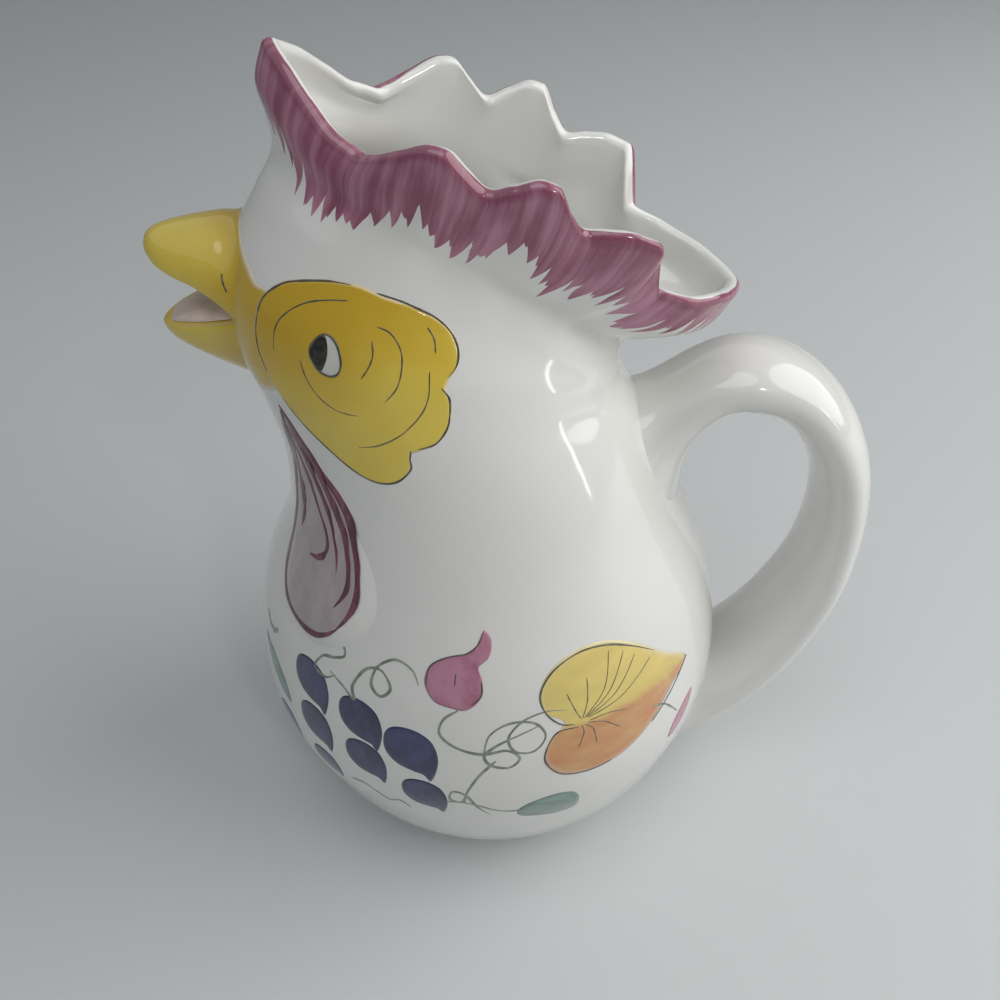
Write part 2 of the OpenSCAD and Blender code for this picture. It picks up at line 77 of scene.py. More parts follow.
# Lobes of the comb, by angle round the mouth from the tail lip to the front tip.
LOBE_ANGLES = [0, 28, 44, 53.5, 55.5, 58.5, 63, 70, 75.5, 79, 82, 85,
               92, 99, 103, 106.5, 110, 119, 127, 131.5, 138, 148, 160, 180]
LOBE_RISE = [0, -0.07, -0.18, -0.14, 0.50, 0.76, 0.76, 0.60, 0.43, 0.64, 1, 0.97,
             0.62, 0.29, 0.46, 0.64, 0.57, 0.12, -0.27, -0.40, -0.39, -0.20, 0, 0.10]
FLUTES = [0, 0, -0.2, -1, -0.4, 0.85, 0.6, 0, -0.45, 0, 0.4, 0.3,
          0, -0.4, 0, 0.4, 0.3, 0, -0.1, -0.25, 0, 0, 0, 0]

# Middle line of the handle from the neck over the arch to the belly.
HANDLE_REACH = [0.380, 0.474, 0.590, 0.695, 0.813, 0.915, 0.983, 1, 0.964, 0.849, 0.682, 0.528, 0.396]
HANDLE_HEIGHT = [0.785, 0.904, 0.983, 1, 0.967, 0.880, 0.753, 0.592, 0.422, 0.237, 0.100, 0.030, 0]
HANDLE_WIDTH = [1.06, 0.94, 0.91, 0.98, 1, 1.02, 1.05, 1.11, 1.20, 1.31, 1.38, 1.42, 1.44]
HANDLE_THICKNESS = [1.45, 1.16, 0.99, 1.02, 0.99, 0.98, 0.94, 0.93, 0.98, 1.06, 1.17, 1.22, 1.22]

# Outline of the beak from the tips back into the head.
BEAK_PLACE = [0, 0.04, 0.12, 0.25, 0.42, 0.60, 0.78, 1]
BEAK_WIDTH = [0.07, 0.22, 0.37, 0.50, 0.63, 0.79, 0.98, 1.25]
UPPER_LINE = [1, 0.95, 0.80, 0.65, 0.51, 0.28, 0, 0]
UPPER_HEIGHT = [0.05, 0.20, 0.37, 0.52, 0.65, 0.82, 1, 1.25]
LOWER_LINE = [1, 0.95, 0.85, 0.72, 0.55, 0.28, 0, 0]
LOWER_DEPTH = [0.05, 0.21, 0.37, 0.57, 0.80, 1.05, 1.30, 1.58]
TIP_ROLL = [0.3, 1, 1, 0.7, 0.35, 0.1, 0, 0]
TONGUE_SWELL = [0.3, 0.5, 0.8, 1, 1, 0.8, 0.5, 0.3]

# Levels of the joint between body and comb, of the rim, and of the lowest ring of the lining.
JOINT_LEVEL = 10
RIM_LEVEL = 14
FLOOR_LEVEL = 0.45

# Points round the vessel, and rings up each part of its wall.
COLUMNS = 576
BODY_RINGS = 151
COMB_RINGS = 49
LIP_RINGS = 12
LINING_RINGS = 96
FLOOR_RINGS = 9

# First ring that is fully rounded, and how often the rings are averaged.
LINING_SOFTENING = (8, 26)
NECK_SOFTENING = (1, 24)

# Halvings that find a place on the wall, and a place where a piece meets it.
WALL_HALVINGS = 26
SEAT_HALVINGS = 24

# Depth under the face of the wall at which a seated end closes.
HANDLE_SEAT_DEPTH = 0.0022
BEAK_SEAT_DEPTH = 0.0015

# How far along the handle's tables its seat is looked for.
HANDLE_SEAT_SPAN = 3.5

# Reach and fall of the handle's fillet, and how much fuller and longer it is inside the loop.
FILLET_REACH = 0.0062
FILLET_POWER = 1.2
FILLET_INNER_FULLNESS = 1.7
FILLET_INNER_REACH = 0.7

# Root of the beak as a share of the belly's radius, depth of the upper beak's underside, first place of the lining.
BEAK_ROOT = 0.665
UPPER_UNDERSIDE = 0.0012
LINING_START = 1.75

# Height of a wattle's middle, the widest share of its drop, and how deep its edge runs into the wall.
WATTLE_CENTRE = 0.32
WATTLE_WIDEST = 0.65
WATTLE_EDGE_SINK = 0.0004

# Millimetres that paint reaches under the glaze, so that no edge of it stands free.
FILL_UNDERLAP = 0.20
STROKE_UNDERLAP = 0.10
STROKE_KEEL = 0.25

# Weight of the tendrils' lines against the widths that they are drawn with.
TENDRIL_WEIGHT = 1.3


class VesselSizes(PropertyGroup):
    total_height: FloatProperty(name="Height", description="Height of the front tip of the comb above the table",
                                default=0.260, unit="LENGTH")
    belly_radius: FloatProperty(name="Belly radius", description="Half of the belly's width along the bird",
                                default=0.0775, unit="LENGTH")
    belly_half_breadth: FloatProperty(name="Belly half breadth", description="Half of the belly's width across",
                                      default=0.075, unit="LENGTH")
    wall: FloatProperty(name="Wall", description="Thickness of the fired wall", default=0.0045, unit="LENGTH")
    floor: FloatProperty(name="Floor", description="Thickness of the floor inside", default=0.006, unit="LENGTH")
    foot_height: FloatProperty(name="Foot height", description="Height of the foot ring",
                               default=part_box("foot_ring")[1][2], unit="LENGTH")
    foot_inset: FloatProperty(name="Foot inset", description="Inset of the standing face from the lowest edge",
                              default=0.003, unit="LENGTH")
    foot_face: FloatProperty(name="Foot face", description="Width of the standing face", default=0.007,
                             unit="LENGTH")


class CombSizes(PropertyGroup):
    tip_reach: FloatProperty(name="Tip reach", description="Reach of the front tip from the axis",
                             default=0.0455, unit="LENGTH")
    tail_reach: FloatProperty(name="Tail reach", description="Reach of the tail lip from the axis",
                              default=0.0713, unit="LENGTH")
    tail_rise: FloatProperty(name="Tail rise", description="Rise of the tail lip above the back of the head",
                             default=0.0175, unit="LENGTH")
    half_width: FloatProperty(name="Mouth half width", description="Half of the mouth's width across the bird",
                              default=0.033, unit="LENGTH")
    lobe_rise: FloatProperty(name="Lobe rise", description="Rise of the tallest lobe above the rim line",
                             default=0.014, unit="LENGTH")
    flute_depth: FloatProperty(name="Flute depth", description="Depth of the flutes under the lobes",
                               default=0.003, unit="LENGTH")


class HandleSizes(PropertyGroup):
    stand_out: FloatProperty(name="Stand out", description="Reach of the middle line beyond the belly",
                             default=0.036, unit="LENGTH")
    top_drop: FloatProperty(name="Top drop", description="Drop of the arch below the back of the head",
                            default=0.0118, unit="LENGTH")
    foot_height: FloatProperty(name="Lower end", description="Height at which the handle meets the belly",
                               default=0.016, unit="LENGTH")
    half_width: FloatProperty(name="Half width", description="Half of the strap's width", default=0.016,
                              unit="LENGTH")
    half_thickness: FloatProperty(name="Half thickness", description="Half of the strap's thickness",
                                  default=0.009, unit="LENGTH")
    fillet: FloatProperty(name="Fillet", description="Swell of the clay where the ends join the body",
                          default=0.0042, unit="LENGTH")


class BeakSizes(PropertyGroup):
    length: FloatProperty(name="Length", description="Length of the beak in front of the head", default=0.019,
                          unit="LENGTH")
    half_width: FloatProperty(name="Half width", description="Half of the width at the mouth's corners",
                              default=0.020, unit="LENGTH")
    corner_share: FloatProperty(name="Corner height", description="Height of the mouth's corners, as a share",
                                default=0.762, subtype="FACTOR")
    tip_rise: FloatProperty(name="Upper tip rise", description="Rise of the upper tip above the corners",
                            default=0.0127, unit="LENGTH")
    tip_drop: FloatProperty(name="Lower tip drop", description="Drop of the lower tip below the corners",
                            default=0.0083, unit="LENGTH")
    upper_height: FloatProperty(name="Upper height", description="Height of the upper beak at its root",
                                default=0.020, unit="LENGTH")
    lower_depth: FloatProperty(name="Lower depth", description="Depth of the lower beak at its root",
                               default=0.020, unit="LENGTH")
    corner_gap: FloatProperty(name="Corner gap", description="Gap between the beaks at the corners",
                              default=0.0006, unit="LENGTH")
    tongue_margin: FloatProperty(name="Tongue margin", description="Bare band round the mouth's lining",
                                 default=0.0026, unit="LENGTH")
    tongue_swell: FloatProperty(name="Tongue swell", description="Swell of the mouth's lining",
                                default=0.0018, unit="LENGTH")


class WattleSizes(PropertyGroup):
    drop: FloatProperty(name="Drop", description="Drop of the lowest point below the mouth's corners",
                        default=0.0918, unit="LENGTH")
    length: FloatProperty(name="Length", description="Length from the point down to the round end",
                          default=0.073, unit="LENGTH")
    half_width: FloatProperty(name="Half width", description="Half of the width round the breast",
                              default=0.023, unit="LENGTH")
    swell: FloatProperty(name="Swell", description="Swell above the breast", default=0.0045, unit="LENGTH")
    middle_angle: FloatProperty(name="Middle", description="Middle line, as an angle from the tail",
                                default=radians(140), subtype="ANGLE")


def paint(name, default):
    return FloatVectorProperty(name=name, description=name + " of the painting", default=default,
                               subtype="COLOR", size=3, min=0, max=1)


class PaintColours(PropertyGroup):
    white: paint("White glaze", (0.80, 0.79, 0.765))
    plum: paint("Plum", (0.27, 0.075, 0.13))
    plum_wash: paint("Plum wash", (0.50, 0.23, 0.32))
    yellow: paint("Yellow", (0.76, 0.58, 0.085))
    ochre: paint("Ochre", (0.60, 0.38, 0.022))
    blush: paint("Blush", (0.80, 0.66, 0.62))
    mauve: paint("Mauve", (0.47, 0.40, 0.42))
    line: paint("Brush line", (0.055, 0.052, 0.040))
    grape: paint("Grape blue", (0.026, 0.029, 0.084))
    leaf_yellow: paint("Leaf yellow", (0.80, 0.63, 0.19))
    leaf_orange: paint("Leaf orange", (0.60, 0.26, 0.11))
    leaf_green: paint("Leaf green", (0.16, 0.24, 0.21))
    tendril: paint("Tendril", (0.17, 0.19, 0.15))
    biscuit: paint("Biscuit", (0.52, 0.40, 0.30))


class StageSizes(PropertyGroup):
    camera_place: FloatVectorProperty(name="Camera", description="Place of the camera",
                                      default=(0.0065, -0.2400, 0.3304), subtype="TRANSLATION", size=3)
    pitch: FloatProperty(name="Pitch", description="Tilt of the camera below the horizon",
                         default=radians(41.3), subtype="ANGLE")
    roll: FloatProperty(name="Roll", description="Roll of the camera", default=radians(2.0), subtype="ANGLE")
    yaw: FloatProperty(name="Yaw", description="Turn of the camera", default=radians(-0.3), subtype="ANGLE")
    lens: FloatProperty(name="Lens", description="Focal length in millimetres", default=36.0, min=1.0)
    floor: paint("Floor", (0.64, 0.655, 0.66))


# Surfaces.

def blend(a, b, c, d, u):
    """Cubic through four neighbours of a table."""
    return 0.5 * (2 * b + u * (c - a) + u * u * (2 * a - 5 * b + 4 * c - d)
                  + u * u * u * (3 * b - a - 3 * c + d))


def along(table, place):
    """Smooth value of a table at fractional places."""
    table, place = np.asarray(table, float), np.asarray(place, float)
    last = len(table) - 1
    k = np.clip(np.floor(place).astype(int), 0, last - 1)
    u = place - k
    if table.ndim == 2:
        u = u[..., None]
    return blend(table[np.maximum(k - 1, 0)], table[k], table[k + 1], table[np.minimum(k + 2, last)], u)


def lobe_value(table, angle):
    """Value of a table of lobes at angles, with no overshoot between its points."""
    places, table = np.array(LOBE_ANGLES, float), np.array(table, float)
    slope = np.diff(table) / np.diff(places)
    before, after = slope[:-1], slope[1:]
    lean = np.zeros(len(table))
    same = before * after > 0
    lean[1:-1][same] = 2 * before[same] * after[same] / (before[same] + after[same])
    k = np.clip(np.searchsorted(places, angle, side="right") - 1, 0, len(table) - 2)
    span = places[k + 1] - places[k]
    u = (angle - places[k]) / span
    return ((1 + 2 * u) * (1 - u) ** 2 * table[k] + u * u * (3 - 2 * u) * table[k + 1]
            + span * u * (1 - u) * ((1 - u) * lean[k] - u * lean[k + 1]))


class Vessel:
    """Outer and inner walls of the hollow body and its comb, by level and by angle from the tail."""

    def __init__(self, scene):
        v, c = scene.pitcher_vessel, scene.pitcher_comb
        self.sizes = v
        self.comb = c
        self.rise = v.total_height - v.foot_height
        self.head_back = v.foot_height + self.rise * BACK_LEVEL[JOINT_LEVEL]
        body = [[v.belly_radius * FRONT_REACH[k], v.foot_height + self.rise * FRONT_LEVEL[k],
                 v.belly_radius * BACK_REACH[k], v.foot_height + self.rise * BACK_LEVEL[k],
                 v.belly_half_breadth * HALF_BREADTH[k], FRONT_PINCH[k], BACK_PINCH[k],
                 self.rise * SIDE_LIFT[k]] for k in range(len(FRONT_REACH))]
        comb = [[c.tip_reach * COMB_FRONT_REACH[k], v.foot_height + self.rise * COMB_FRONT_LEVEL[k],
                 c.tail_reach * COMB_BACK_REACH[k], self.head_back + c.tail_rise * COMB_BACK_LEVEL[k],
                 c.half_width * COMB_HALF_WIDTH[k], COMB_FRONT_PINCH[k], COMB_BACK_PINCH[k],
                 self.rise * COMB_SIDE_LIFT[k]] for k in range(len(COMB_FRONT_REACH))]
        self.levels = np.array(body + comb)

    def outer(self, level, angle):
        """Points of the outer wall."""
        level, angle = np.broadcast_arrays(np.asarray(level, float), np.asarray(angle, float))
        r = np.moveaxis(along(self.levels, level), -1, 0)
        growth = np.clip((level - JOINT_LEVEL) / (RIM_LEVEL - JOINT_LEVEL), 0, 1) ** 1.5
        at = np.abs((angle + 180) % 360 - 180)
        flute = growth * self.comb.flute_depth * lobe_value(FLUTES, at)
        lobe = growth * self.comb.lobe_rise * lobe_value(LOBE_RISE, at)
        c, s = np.cos(np.radians(angle)), np.sin(np.radians(angle))
        s = np.where(np.abs(s) < 1e-12, 0, s)
        power = 1 + np.abs(c) * np.where(c < 0, r[5], r[6])
        x = (r[2] - r[0]) / 2 + ((r[2] + r[0]) / 2 + flute) * c
        y = (r[4] + flute) * np.sign(s) * np.abs(s) ** power
        z = (r[1] + r[3]) / 2 + (r[3] - r[1]) / 2 * c + r[7] * s * s + lobe
        return np.stack([x, y, z], -1)

    def wall_frame(self, level, angle):
        """Outward direction in plan, and the climb of the wall along and up."""
        r = along(self.levels, np.asarray(level, float))
        p = self.outer(level, angle)
        out = np.stack([p[..., 0] - (r[..., 2] - r[..., 0]) / 2, p[..., 1]], -1)
        out /= np.linalg.norm(out, axis=-1, keepdims=True)
        step = self.outer(np.asarray(level) + 0.02, angle) - self.outer(np.asarray(level) - 0.02, angle)
        climb = np.stack([(step[..., :2] * out).sum(-1), step[..., 2]], -1)
        return out, climb / np.linalg.norm(climb, axis=-1, keepdims=True)

    def inner(self, level, angle):
        """Points of the lining, a wall's thickness inside the outer wall."""
        out, climb = self.wall_frame(level, angle)
        inward = np.concatenate([-climb[..., 1:] * out, climb[..., :1]], -1)
        return self.outer(level, angle) + self.sizes.wall * inward

    def level_at_height(self, angle, z, low=0.0, high=13.0):
        """Level at which the outer wall reaches a height."""
        angle, z = np.broadcast_arrays(np.asarray(angle, float), np.asarray(z, float))
        low, high = np.full(z.shape, low), np.full(z.shape, high)
        for _ in range(WALL_HALVINGS):
            middle = (low + high) / 2
            under = self.outer(middle, angle)[..., 2] < z
            low, high = np.where(under, middle, low), np.where(under, high, middle)
        return (low + high) / 2

    def normal(self, level, angle):
        """Outward direction of the outer wall."""
        up = self.outer(level + 0.02, angle) - self.outer(level - 0.02, angle)
        round_ = self.outer(level, angle + 0.5) - self.outer(level, angle - 0.5)
        normal = np.cross(round_, up)
        return normal / np.linalg.norm(normal, axis=-1, keepdims=True)

    def place(self, side, angle, z, lift=0.0):
        """Points that stand off the outer wall at an angle from the tail and a height."""
        angle = np.asarray(angle, float) * side
        level = self.level_at_height(angle, z)
        return self.outer(level, angle) + np.asarray(lift)[..., None] * self.normal(level, angle)

    def surface_x(self, y, z, front):
        """Where the front or the back of the outer wall lies at a breadth and a height."""
        low = np.zeros(y.shape)
        high = np.full(y.shape, 12.0)
        for _ in range(WALL_HALVINGS):
            middle = (low + high) / 2
            r = along(self.levels, middle)
            plain = np.clip(y / r[..., 4], -1, 1)
            power = 1 + np.sqrt(1 - plain ** 2) * (r[..., 5] if front else r[..., 6])
            turn = np.degrees(np.arcsin(np.sign(plain) * np.abs(plain) ** (1 / power)))
            angle = 180 - turn if front else turn
            p = self.outer(middle, angle)
            under = p[..., 2] < z
            low, high = np.where(under, middle, low), np.where(under, high, middle)
        return p[..., 0]


# Meshes.

def link_piece(name, mesh, replaced=(), material=None):
    piece = bpy.data.objects.new(name, mesh)
    bpy.context.scene.collection.objects.link(piece)
    if material:
        mesh.materials.append(material)
    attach(piece, "root")
    if replaced:
        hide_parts(*replaced)
    return piece


def add_values(mesh, values):
    for name, numbers in values.items():
        attribute = mesh.attributes.new(name, "FLOAT", "POINT")
        attribute.data.foreach_set("value", np.asarray(numbers, np.float32).ravel())


def grid_normals(rings):
    """Outward normals of a stack of closed rings."""
    round_ = np.roll(rings, -1, 1) - np.roll(rings, 1, 1)
    up = np.gradient(rings, axis=0)
    normal = np.cross(round_, up)
    length = np.linalg.norm(normal, axis=-1, keepdims=True)
    return normal / np.where(length > 0, length, 1)


def grid_faces(rows, columns, closed, first=0):
    """Quads through a stack of rings; a closed stack comes back to its first ring."""
    count = rows if closed else rows - 1
    k, i = np.meshgrid(np.arange(count), np.arange(columns), indexing="ij")
    nk, ni = (k + 1) % rows, (i + 1) % columns
    quads = np.stack([k * columns + i, k * columns + ni, nk * columns + ni, nk * columns + i], -1)
    return (quads.reshape(-1, 4) + first).tolist()


def rings_mesh(name, rings, start=None, end=None, closed=False, values=None, normals=None):
    """Smooth closed mesh through a stack of rings, with a point at either end."""
    rows, columns = rings.shape[:2]
    verts = rings.reshape(-1, 3)
    faces = grid_faces(rows, columns, closed)
    ends = []
    if start is not None:
        ends.append(start)
        faces += [(rows * columns, (i + 1) % columns, i) for i in range(columns)]
    if end is not None:
        base = (rows - 1) * columns
        faces += [(rows * columns + len(ends), base + i, base + (i + 1) % columns) for i in range(columns)]
        ends.append(end)
    if ends:
        verts = np.concatenate([verts, np.array(ends)])
    mesh = bpy.data.meshes.new(name)
    mesh.from_pydata(verts.tolist(), [], faces)
    mesh.shade_smooth()
    if values:
        add_values(mesh, {n: np.concatenate([v.ravel(), np.zeros(len(ends))]) for n, v in values.items()})
    if normals is not None:
        extra = [(0, 0, -1)] if start is not None else []
        extra += [(0, 0, 1)] if end is not None else []
        mesh.normals_split_custom_set_from_vertices(normals.reshape(-1, 3).tolist() + extra)
    return mesh


def seat_cap(vessel, ring, front, depth):
    """Rings and a middle point that close a seated end, a depth under the face of the wall."""
    middle = ring.mean(0)
    cap = middle + (ring - middle) * np.array([0.8, 0.55, 0.3, 0.0])[:, None, None]
    cap[..., 0] = vessel.surface_x(cap[..., 1], cap[..., 2], front) + (depth if front else -depth)
    return cap[:-1], cap[-1, 0]


def distance_down(rings):
    """Distance along the columns of a stack of rings."""
    steps = np.linalg.norm(np.diff(rings, axis=0), axis=-1)
    return np.concatenate([np.zeros((1, rings.shape[1])), np.cumsum(steps, 0)])


def soften(rings, full, passes):
    """Rounds the creases of a stack of rings, from none at its first ring to all from a full one on."""
    soft = rings
    for _ in range(passes):
        soft = (np.roll(soft, 1, 1) + 2 * soft + np.roll(soft, -1, 1)) / 4
        padded = np.concatenate([soft[:1], soft, soft[-1:]])
        soft = (padded[:-2] + 2 * padded[1:-1] + padded[2:]) / 4
    share = np.clip(np.arange(len(rings)) / full, 0, 1)[:, None, None]
    return rings + (soft - rings) * share


def vessel_walls(vessel):
    """The whole wall in one stack of rings, up outside, over the lip and down inside."""
    angle = np.arange(COLUMNS) * 360 / COLUMNS
    body_levels = np.linspace(0, JOINT_LEVEL, BODY_RINGS)
    comb_levels = np.linspace(JOINT_LEVEL, RIM_LEVEL, COMB_RINGS)
    outside = vessel.outer(np.concatenate([body_levels, comb_levels[1:]])[:, None], angle[None])
    # The hollow where the tail of the comb leaves the neck is rounded off: within 50 degrees of the tail,
    # all of it within 25, and near the joint, fading out over 26 rings.
    behind = np.clip((50 - np.abs((angle + 180) % 360 - 180)) / 25, 0, 1)[None, :, None]
    near = np.clip(1.3 - np.abs(np.arange(len(outside)) - len(body_levels) + 1) / 20, 0, 1)[:, None, None]
    outside = outside + (soften(outside, *NECK_SOFTENING) - outside) * behind * near
    out, climb = vessel.wall_frame(np.full(COLUMNS, float(RIM_LEVEL)), angle)
    edge, lining = vessel.outer(RIM_LEVEL, angle), vessel.inner(np.full(COLUMNS, float(RIM_LEVEL)), angle)
    lip = []
    for turn in np.linspace(0, pi, LIP_RINGS)[1:-1]:
        up = vessel.sizes.wall / 2 * sin(turn)
        rise = np.stack([climb[:, 0] * out[:, 0], climb[:, 0] * out[:, 1], climb[:, 1]], -1)
        lip.append((edge + lining) / 2 + (edge - lining) / 2 * cos(turn) + up * rise)
    lining_levels = np.linspace(JOINT_LEVEL, FLOOR_LEVEL, LINING_RINGS)[1:]
    inside_levels = np.concatenate([comb_levels[::-1], lining_levels])
    inside = vessel.inner(np.broadcast_to(inside_levels[:, None], (len(inside_levels), COLUMNS)), angle[None])
    inside = soften(inside, *LINING_SOFTENING)
    lowest = inside[-1]
    floor = vessel.sizes.foot_height + vessel.sizes.floor
    floors = []
    for turn in np.linspace(0, pi / 2, FLOOR_RINGS)[1:]:
        ring = lowest * (0.80 + 0.20 * cos(turn))
        ring[:, 2] = floor + (lowest[:, 2] - floor) * (1 - sin(turn))
        floors.append(ring)
    for share in (0.6, 0.35, 0.12):
        ring = lowest * share
        ring[:, 2] = floor
        floors.append(ring)
    under = []
    for share in (0.1, 0.5, 0.85):
        ring = outside[0] * share
        ring[:, 2] = vessel.sizes.foot_height
        under.append(ring)
    stack = np.concatenate([np.array(under), outside, np.array(lip), inside, np.array(floors)])
    first = len(under) + len(body_levels) - 1
    last = len(under) + len(outside) + len(lip) + len(comb_levels) - 1
    rim = len(under) + len(outside) - 1
    return stack, first, last, rim, angle


def paint_places(stack, rim, angle, lower=16):
    """How far each point lies below the rim outside, and how far round from the tail, in millimetres.

    The way round is measured on one ring, some rings lower than the rim.
    """
    down = distance_down(stack)
    below = (down[rim][None] - down) / MM
    at = np.abs((angle + 180) % 360 - 180)
    ring = stack[rim - lower]
    half = ring[: COLUMNS // 2 + 1]
    length = np.concatenate([[0], np.cumsum(np.linalg.norm(np.diff(half, axis=0), axis=-1))]) / MM
    around = np.interp(at, angle[: COLUMNS // 2 + 1], length)
    return below, np.broadcast_to(around, below.shape)


# Glazes.

class Glaze:
    """A material under construction: short calls that add and join its nodes."""

    def __init__(self, name, roughness=0.10, coat=0.35):
        self.material = bpy.data.materials.new(name)
        self.material.use_nodes = True
        self.tree = self.material.node_tree
        self.nodes, self.links = self.tree.nodes, self.tree.links
        self.shader = self.nodes["Principled BSDF"]
        self.shader.inputs["Roughness"].default_value = roughness
        self.shader.inputs["IOR"].default_value = 1.52
        self.shader.inputs["Coat Weight"].default_value = coat
        self.shader.inputs["Coat Roughness"].default_value = 0.04
        self.place = self.nodes.new("ShaderNodeTexCoord").outputs["Object"]

    def feed(self, socket, value):
        if hasattr(value, "is_output"):
            self.links.new(value, socket)
        elif hasattr(value, "__len__"):
            value = tuple(value)
            socket.default_value = value + (1.0,) if len(value) == 3 and len(socket.default_value) == 4 else value
        else:
            socket.default_value = value

    def value(self, name):
        node = self.nodes.new("ShaderNodeAttribute")
        node.attribute_name = name
        return node.outputs["Fac"]

    def math(self, operation, a, b=0.0, c=0.0, clamp=False):
        node = self.nodes.new("ShaderNodeMath")
        node.operation = operation
        node.use_clamp = clamp
        for socket, value in zip(node.inputs, (a, b, c)):
            self.feed(socket, value)
        return node.outputs[0]

    def range(self, value, low, high, to_low=0.0, to_high=1.0, smooth=False):
        node = self.nodes.new("ShaderNodeMapRange")
        node.interpolation_type = "SMOOTHSTEP" if smooth else "LINEAR"
        for name, number in (("Value", value), ("From Min", low), ("From Max", high),
                             ("To Min", to_low), ("To Max", to_high)):
            self.feed(node.inputs[name], number)
        return node.outputs["Result"]

    def noise(self, scale, detail=2.0, vector=None, stretch=None, roughness=0.5):
        node = self.nodes.new("ShaderNodeTexNoise")
        node.inputs["Scale"].default_value = scale
        node.inputs["Detail"].default_value = detail
        node.inputs["Roughness"].default_value = roughness
        vector = self.place if vector is None else vector
        if stretch:
            mapping = self.nodes.new("ShaderNodeMapping")
            mapping.inputs["Scale"].default_value = stretch
            self.links.new(vector, mapping.inputs["Vector"])
            vector = mapping.outputs["Vector"]
        self.links.new(vector, node.inputs["Vector"])
        return node.outputs["Fac"]

    def vector(self, x, y, z=0.0):
        node = self.nodes.new("ShaderNodeCombineXYZ")
        for socket, value in zip(node.inputs, (x, y, z)):
            self.feed(socket, value)
        return node.outputs[0]

    def random(self, value):
        node = self.nodes.new("ShaderNodeTexWhiteNoise")
        node.noise_dimensions = "1D"
        self.feed(node.inputs["W"], value)
        return node.outputs["Value"]

    def mix(self, factor, a, b):
        node = self.nodes.new("ShaderNodeMix")
        node.data_type = "RGBA"
        self.feed(node.inputs["Factor"], factor)
        self.feed(node.inputs["A"], a)
        self.feed(node.inputs["B"], b)
        return node.outputs["Result"]

    def white(self, colour):
        """Glaze that pools a little greyer and warmer in patches."""
        patches = self.range(self.noise(22, 3), 0.35, 0.70)
        darker = tuple(v * k for v, k in zip(colour, (0.955, 0.955, 0.945)))
        return self.mix(patches, tuple(colour), darker)

    def finish(self, colour, bump=0.10):
        """Joins the colour and the ripple of a dipped glaze, and returns the material."""
        self.feed(self.shader.inputs["Base Color"], colour)
        ripple = self.math("ADD", self.noise(38, 2), self.math("MULTIPLY", self.noise(420, 1), 0.06))
        node = self.nodes.new("ShaderNodeBump")
        node.inputs["Strength"].default_value = bump
        node.inputs["Distance"].default_value = 0.0012
        self.links.new(ripple, node.inputs["Height"])
        self.links.new(node.outputs["Normal"], self.shader.inputs["Normal"])
        return self.material


def brushed_comb(glaze, colours):
    """White glaze with the comb's plum band, drawn down from the rim in pointed brush strokes."""
    below, around = glaze.value("below"), glaze.value("around")
    lean = glaze.range(around, 30, 78, 0.32, -0.16, smooth=True)
    strand = glaze.math("SUBTRACT", around, glaze.math("MULTIPLY", below, lean))
    reach = glaze.range(around, 25, 47, 8.0, 16.0, smooth=True)
    masks = []
    for width, seed, longer in ((4.2, 3.0, 0.0), (6.8, 57.0, -2.6)):
        wobble = glaze.noise(1.0, 1, glaze.vector(glaze.math("MULTIPLY", strand, 0.09), seed, 0.0))
        count = glaze.math("DIVIDE", glaze.math("ADD", strand, glaze.math("MULTIPLY", wobble, 7.0)), width)
        index = glaze.math("FLOOR", count)
        part = glaze.math("SUBTRACT", glaze.math("MULTIPLY", glaze.math("FRACT", count), 2.0), 1.15)
        edge = glaze.math("POWER", glaze.math("ABSOLUTE", part), 1.25)
        chance = glaze.random(glaze.math("ADD", index, seed))
        limit = glaze.math("ADD", glaze.math("ADD", reach, longer), glaze.math("MULTIPLY", chance, 4.5))
        length = glaze.math("ADD", 4.5, glaze.math("MULTIPLY", glaze.random(glaze.math("ADD", index, seed * 3)), 4.0))
        limit = glaze.math("SUBTRACT", limit, glaze.math("MULTIPLY", edge, length))
        masks.append(glaze.range(glaze.math("SUBTRACT", limit, below), -0.15, 0.35, smooth=True))
    mask = glaze.math("MAXIMUM", masks[0], masks[1])
    ragged = glaze.math("MULTIPLY", glaze.noise(130, 2), 1.2)
    lip = glaze.range(glaze.math("ADD", below, ragged), -3.1, -2.6, smooth=True)
    mask = glaze.math("MULTIPLY", mask, lip)
    streaks = glaze.noise(1.0, 3, glaze.vector(glaze.math("MULTIPLY", strand, 0.42),
                                               glaze.math("MULTIPLY", below, 0.035), 4.0), roughness=0.55)
    washes = glaze.noise(1.0, 2, glaze.vector(glaze.math("MULTIPLY", strand, 0.07),
                                              glaze.math("MULTIPLY", below, 0.05), 9.0))
    tone = glaze.math("ADD", glaze.math("MULTIPLY", streaks, 0.70), glaze.math("MULTIPLY", washes, 0.60))
    tone = glaze.range(tone, 0.48, 0.84, smooth=True)
    rim = glaze.range(below, -1.2, 2.0, 0.50, 0.0, smooth=True)
    tone = glaze.math("SUBTRACT", tone, rim, clamp=True)
    plum = glaze.mix(tone, tuple(colours.plum), tuple(colours.plum_wash))
    return glaze.mix(mask, glaze.white(colours.white), plum)


def brushed_yellow(name, colours, fade):
    """Airbrushed yellow that runs from ochre to lemon by the tone that a fill carries."""
    glaze = Glaze(name)
    cloud = glaze.math("MULTIPLY", glaze.math("SUBTRACT", glaze.noise(55, 2), 0.5), 0.9)
    tone = glaze.range(glaze.math("ADD", glaze.value("tone"), cloud), 0.0, 1.0, smooth=True)
    colour = glaze.mix(tone, tuple(colours.ochre), tuple(colours.yellow))
    edge = glaze.range(glaze.value("rim"), fade, 1.0, 0.0, 0.6, smooth=True)
    return glaze.finish(glaze.mix(edge, colour, tuple(v * 0.93 for v in colours.white)), 0.06)


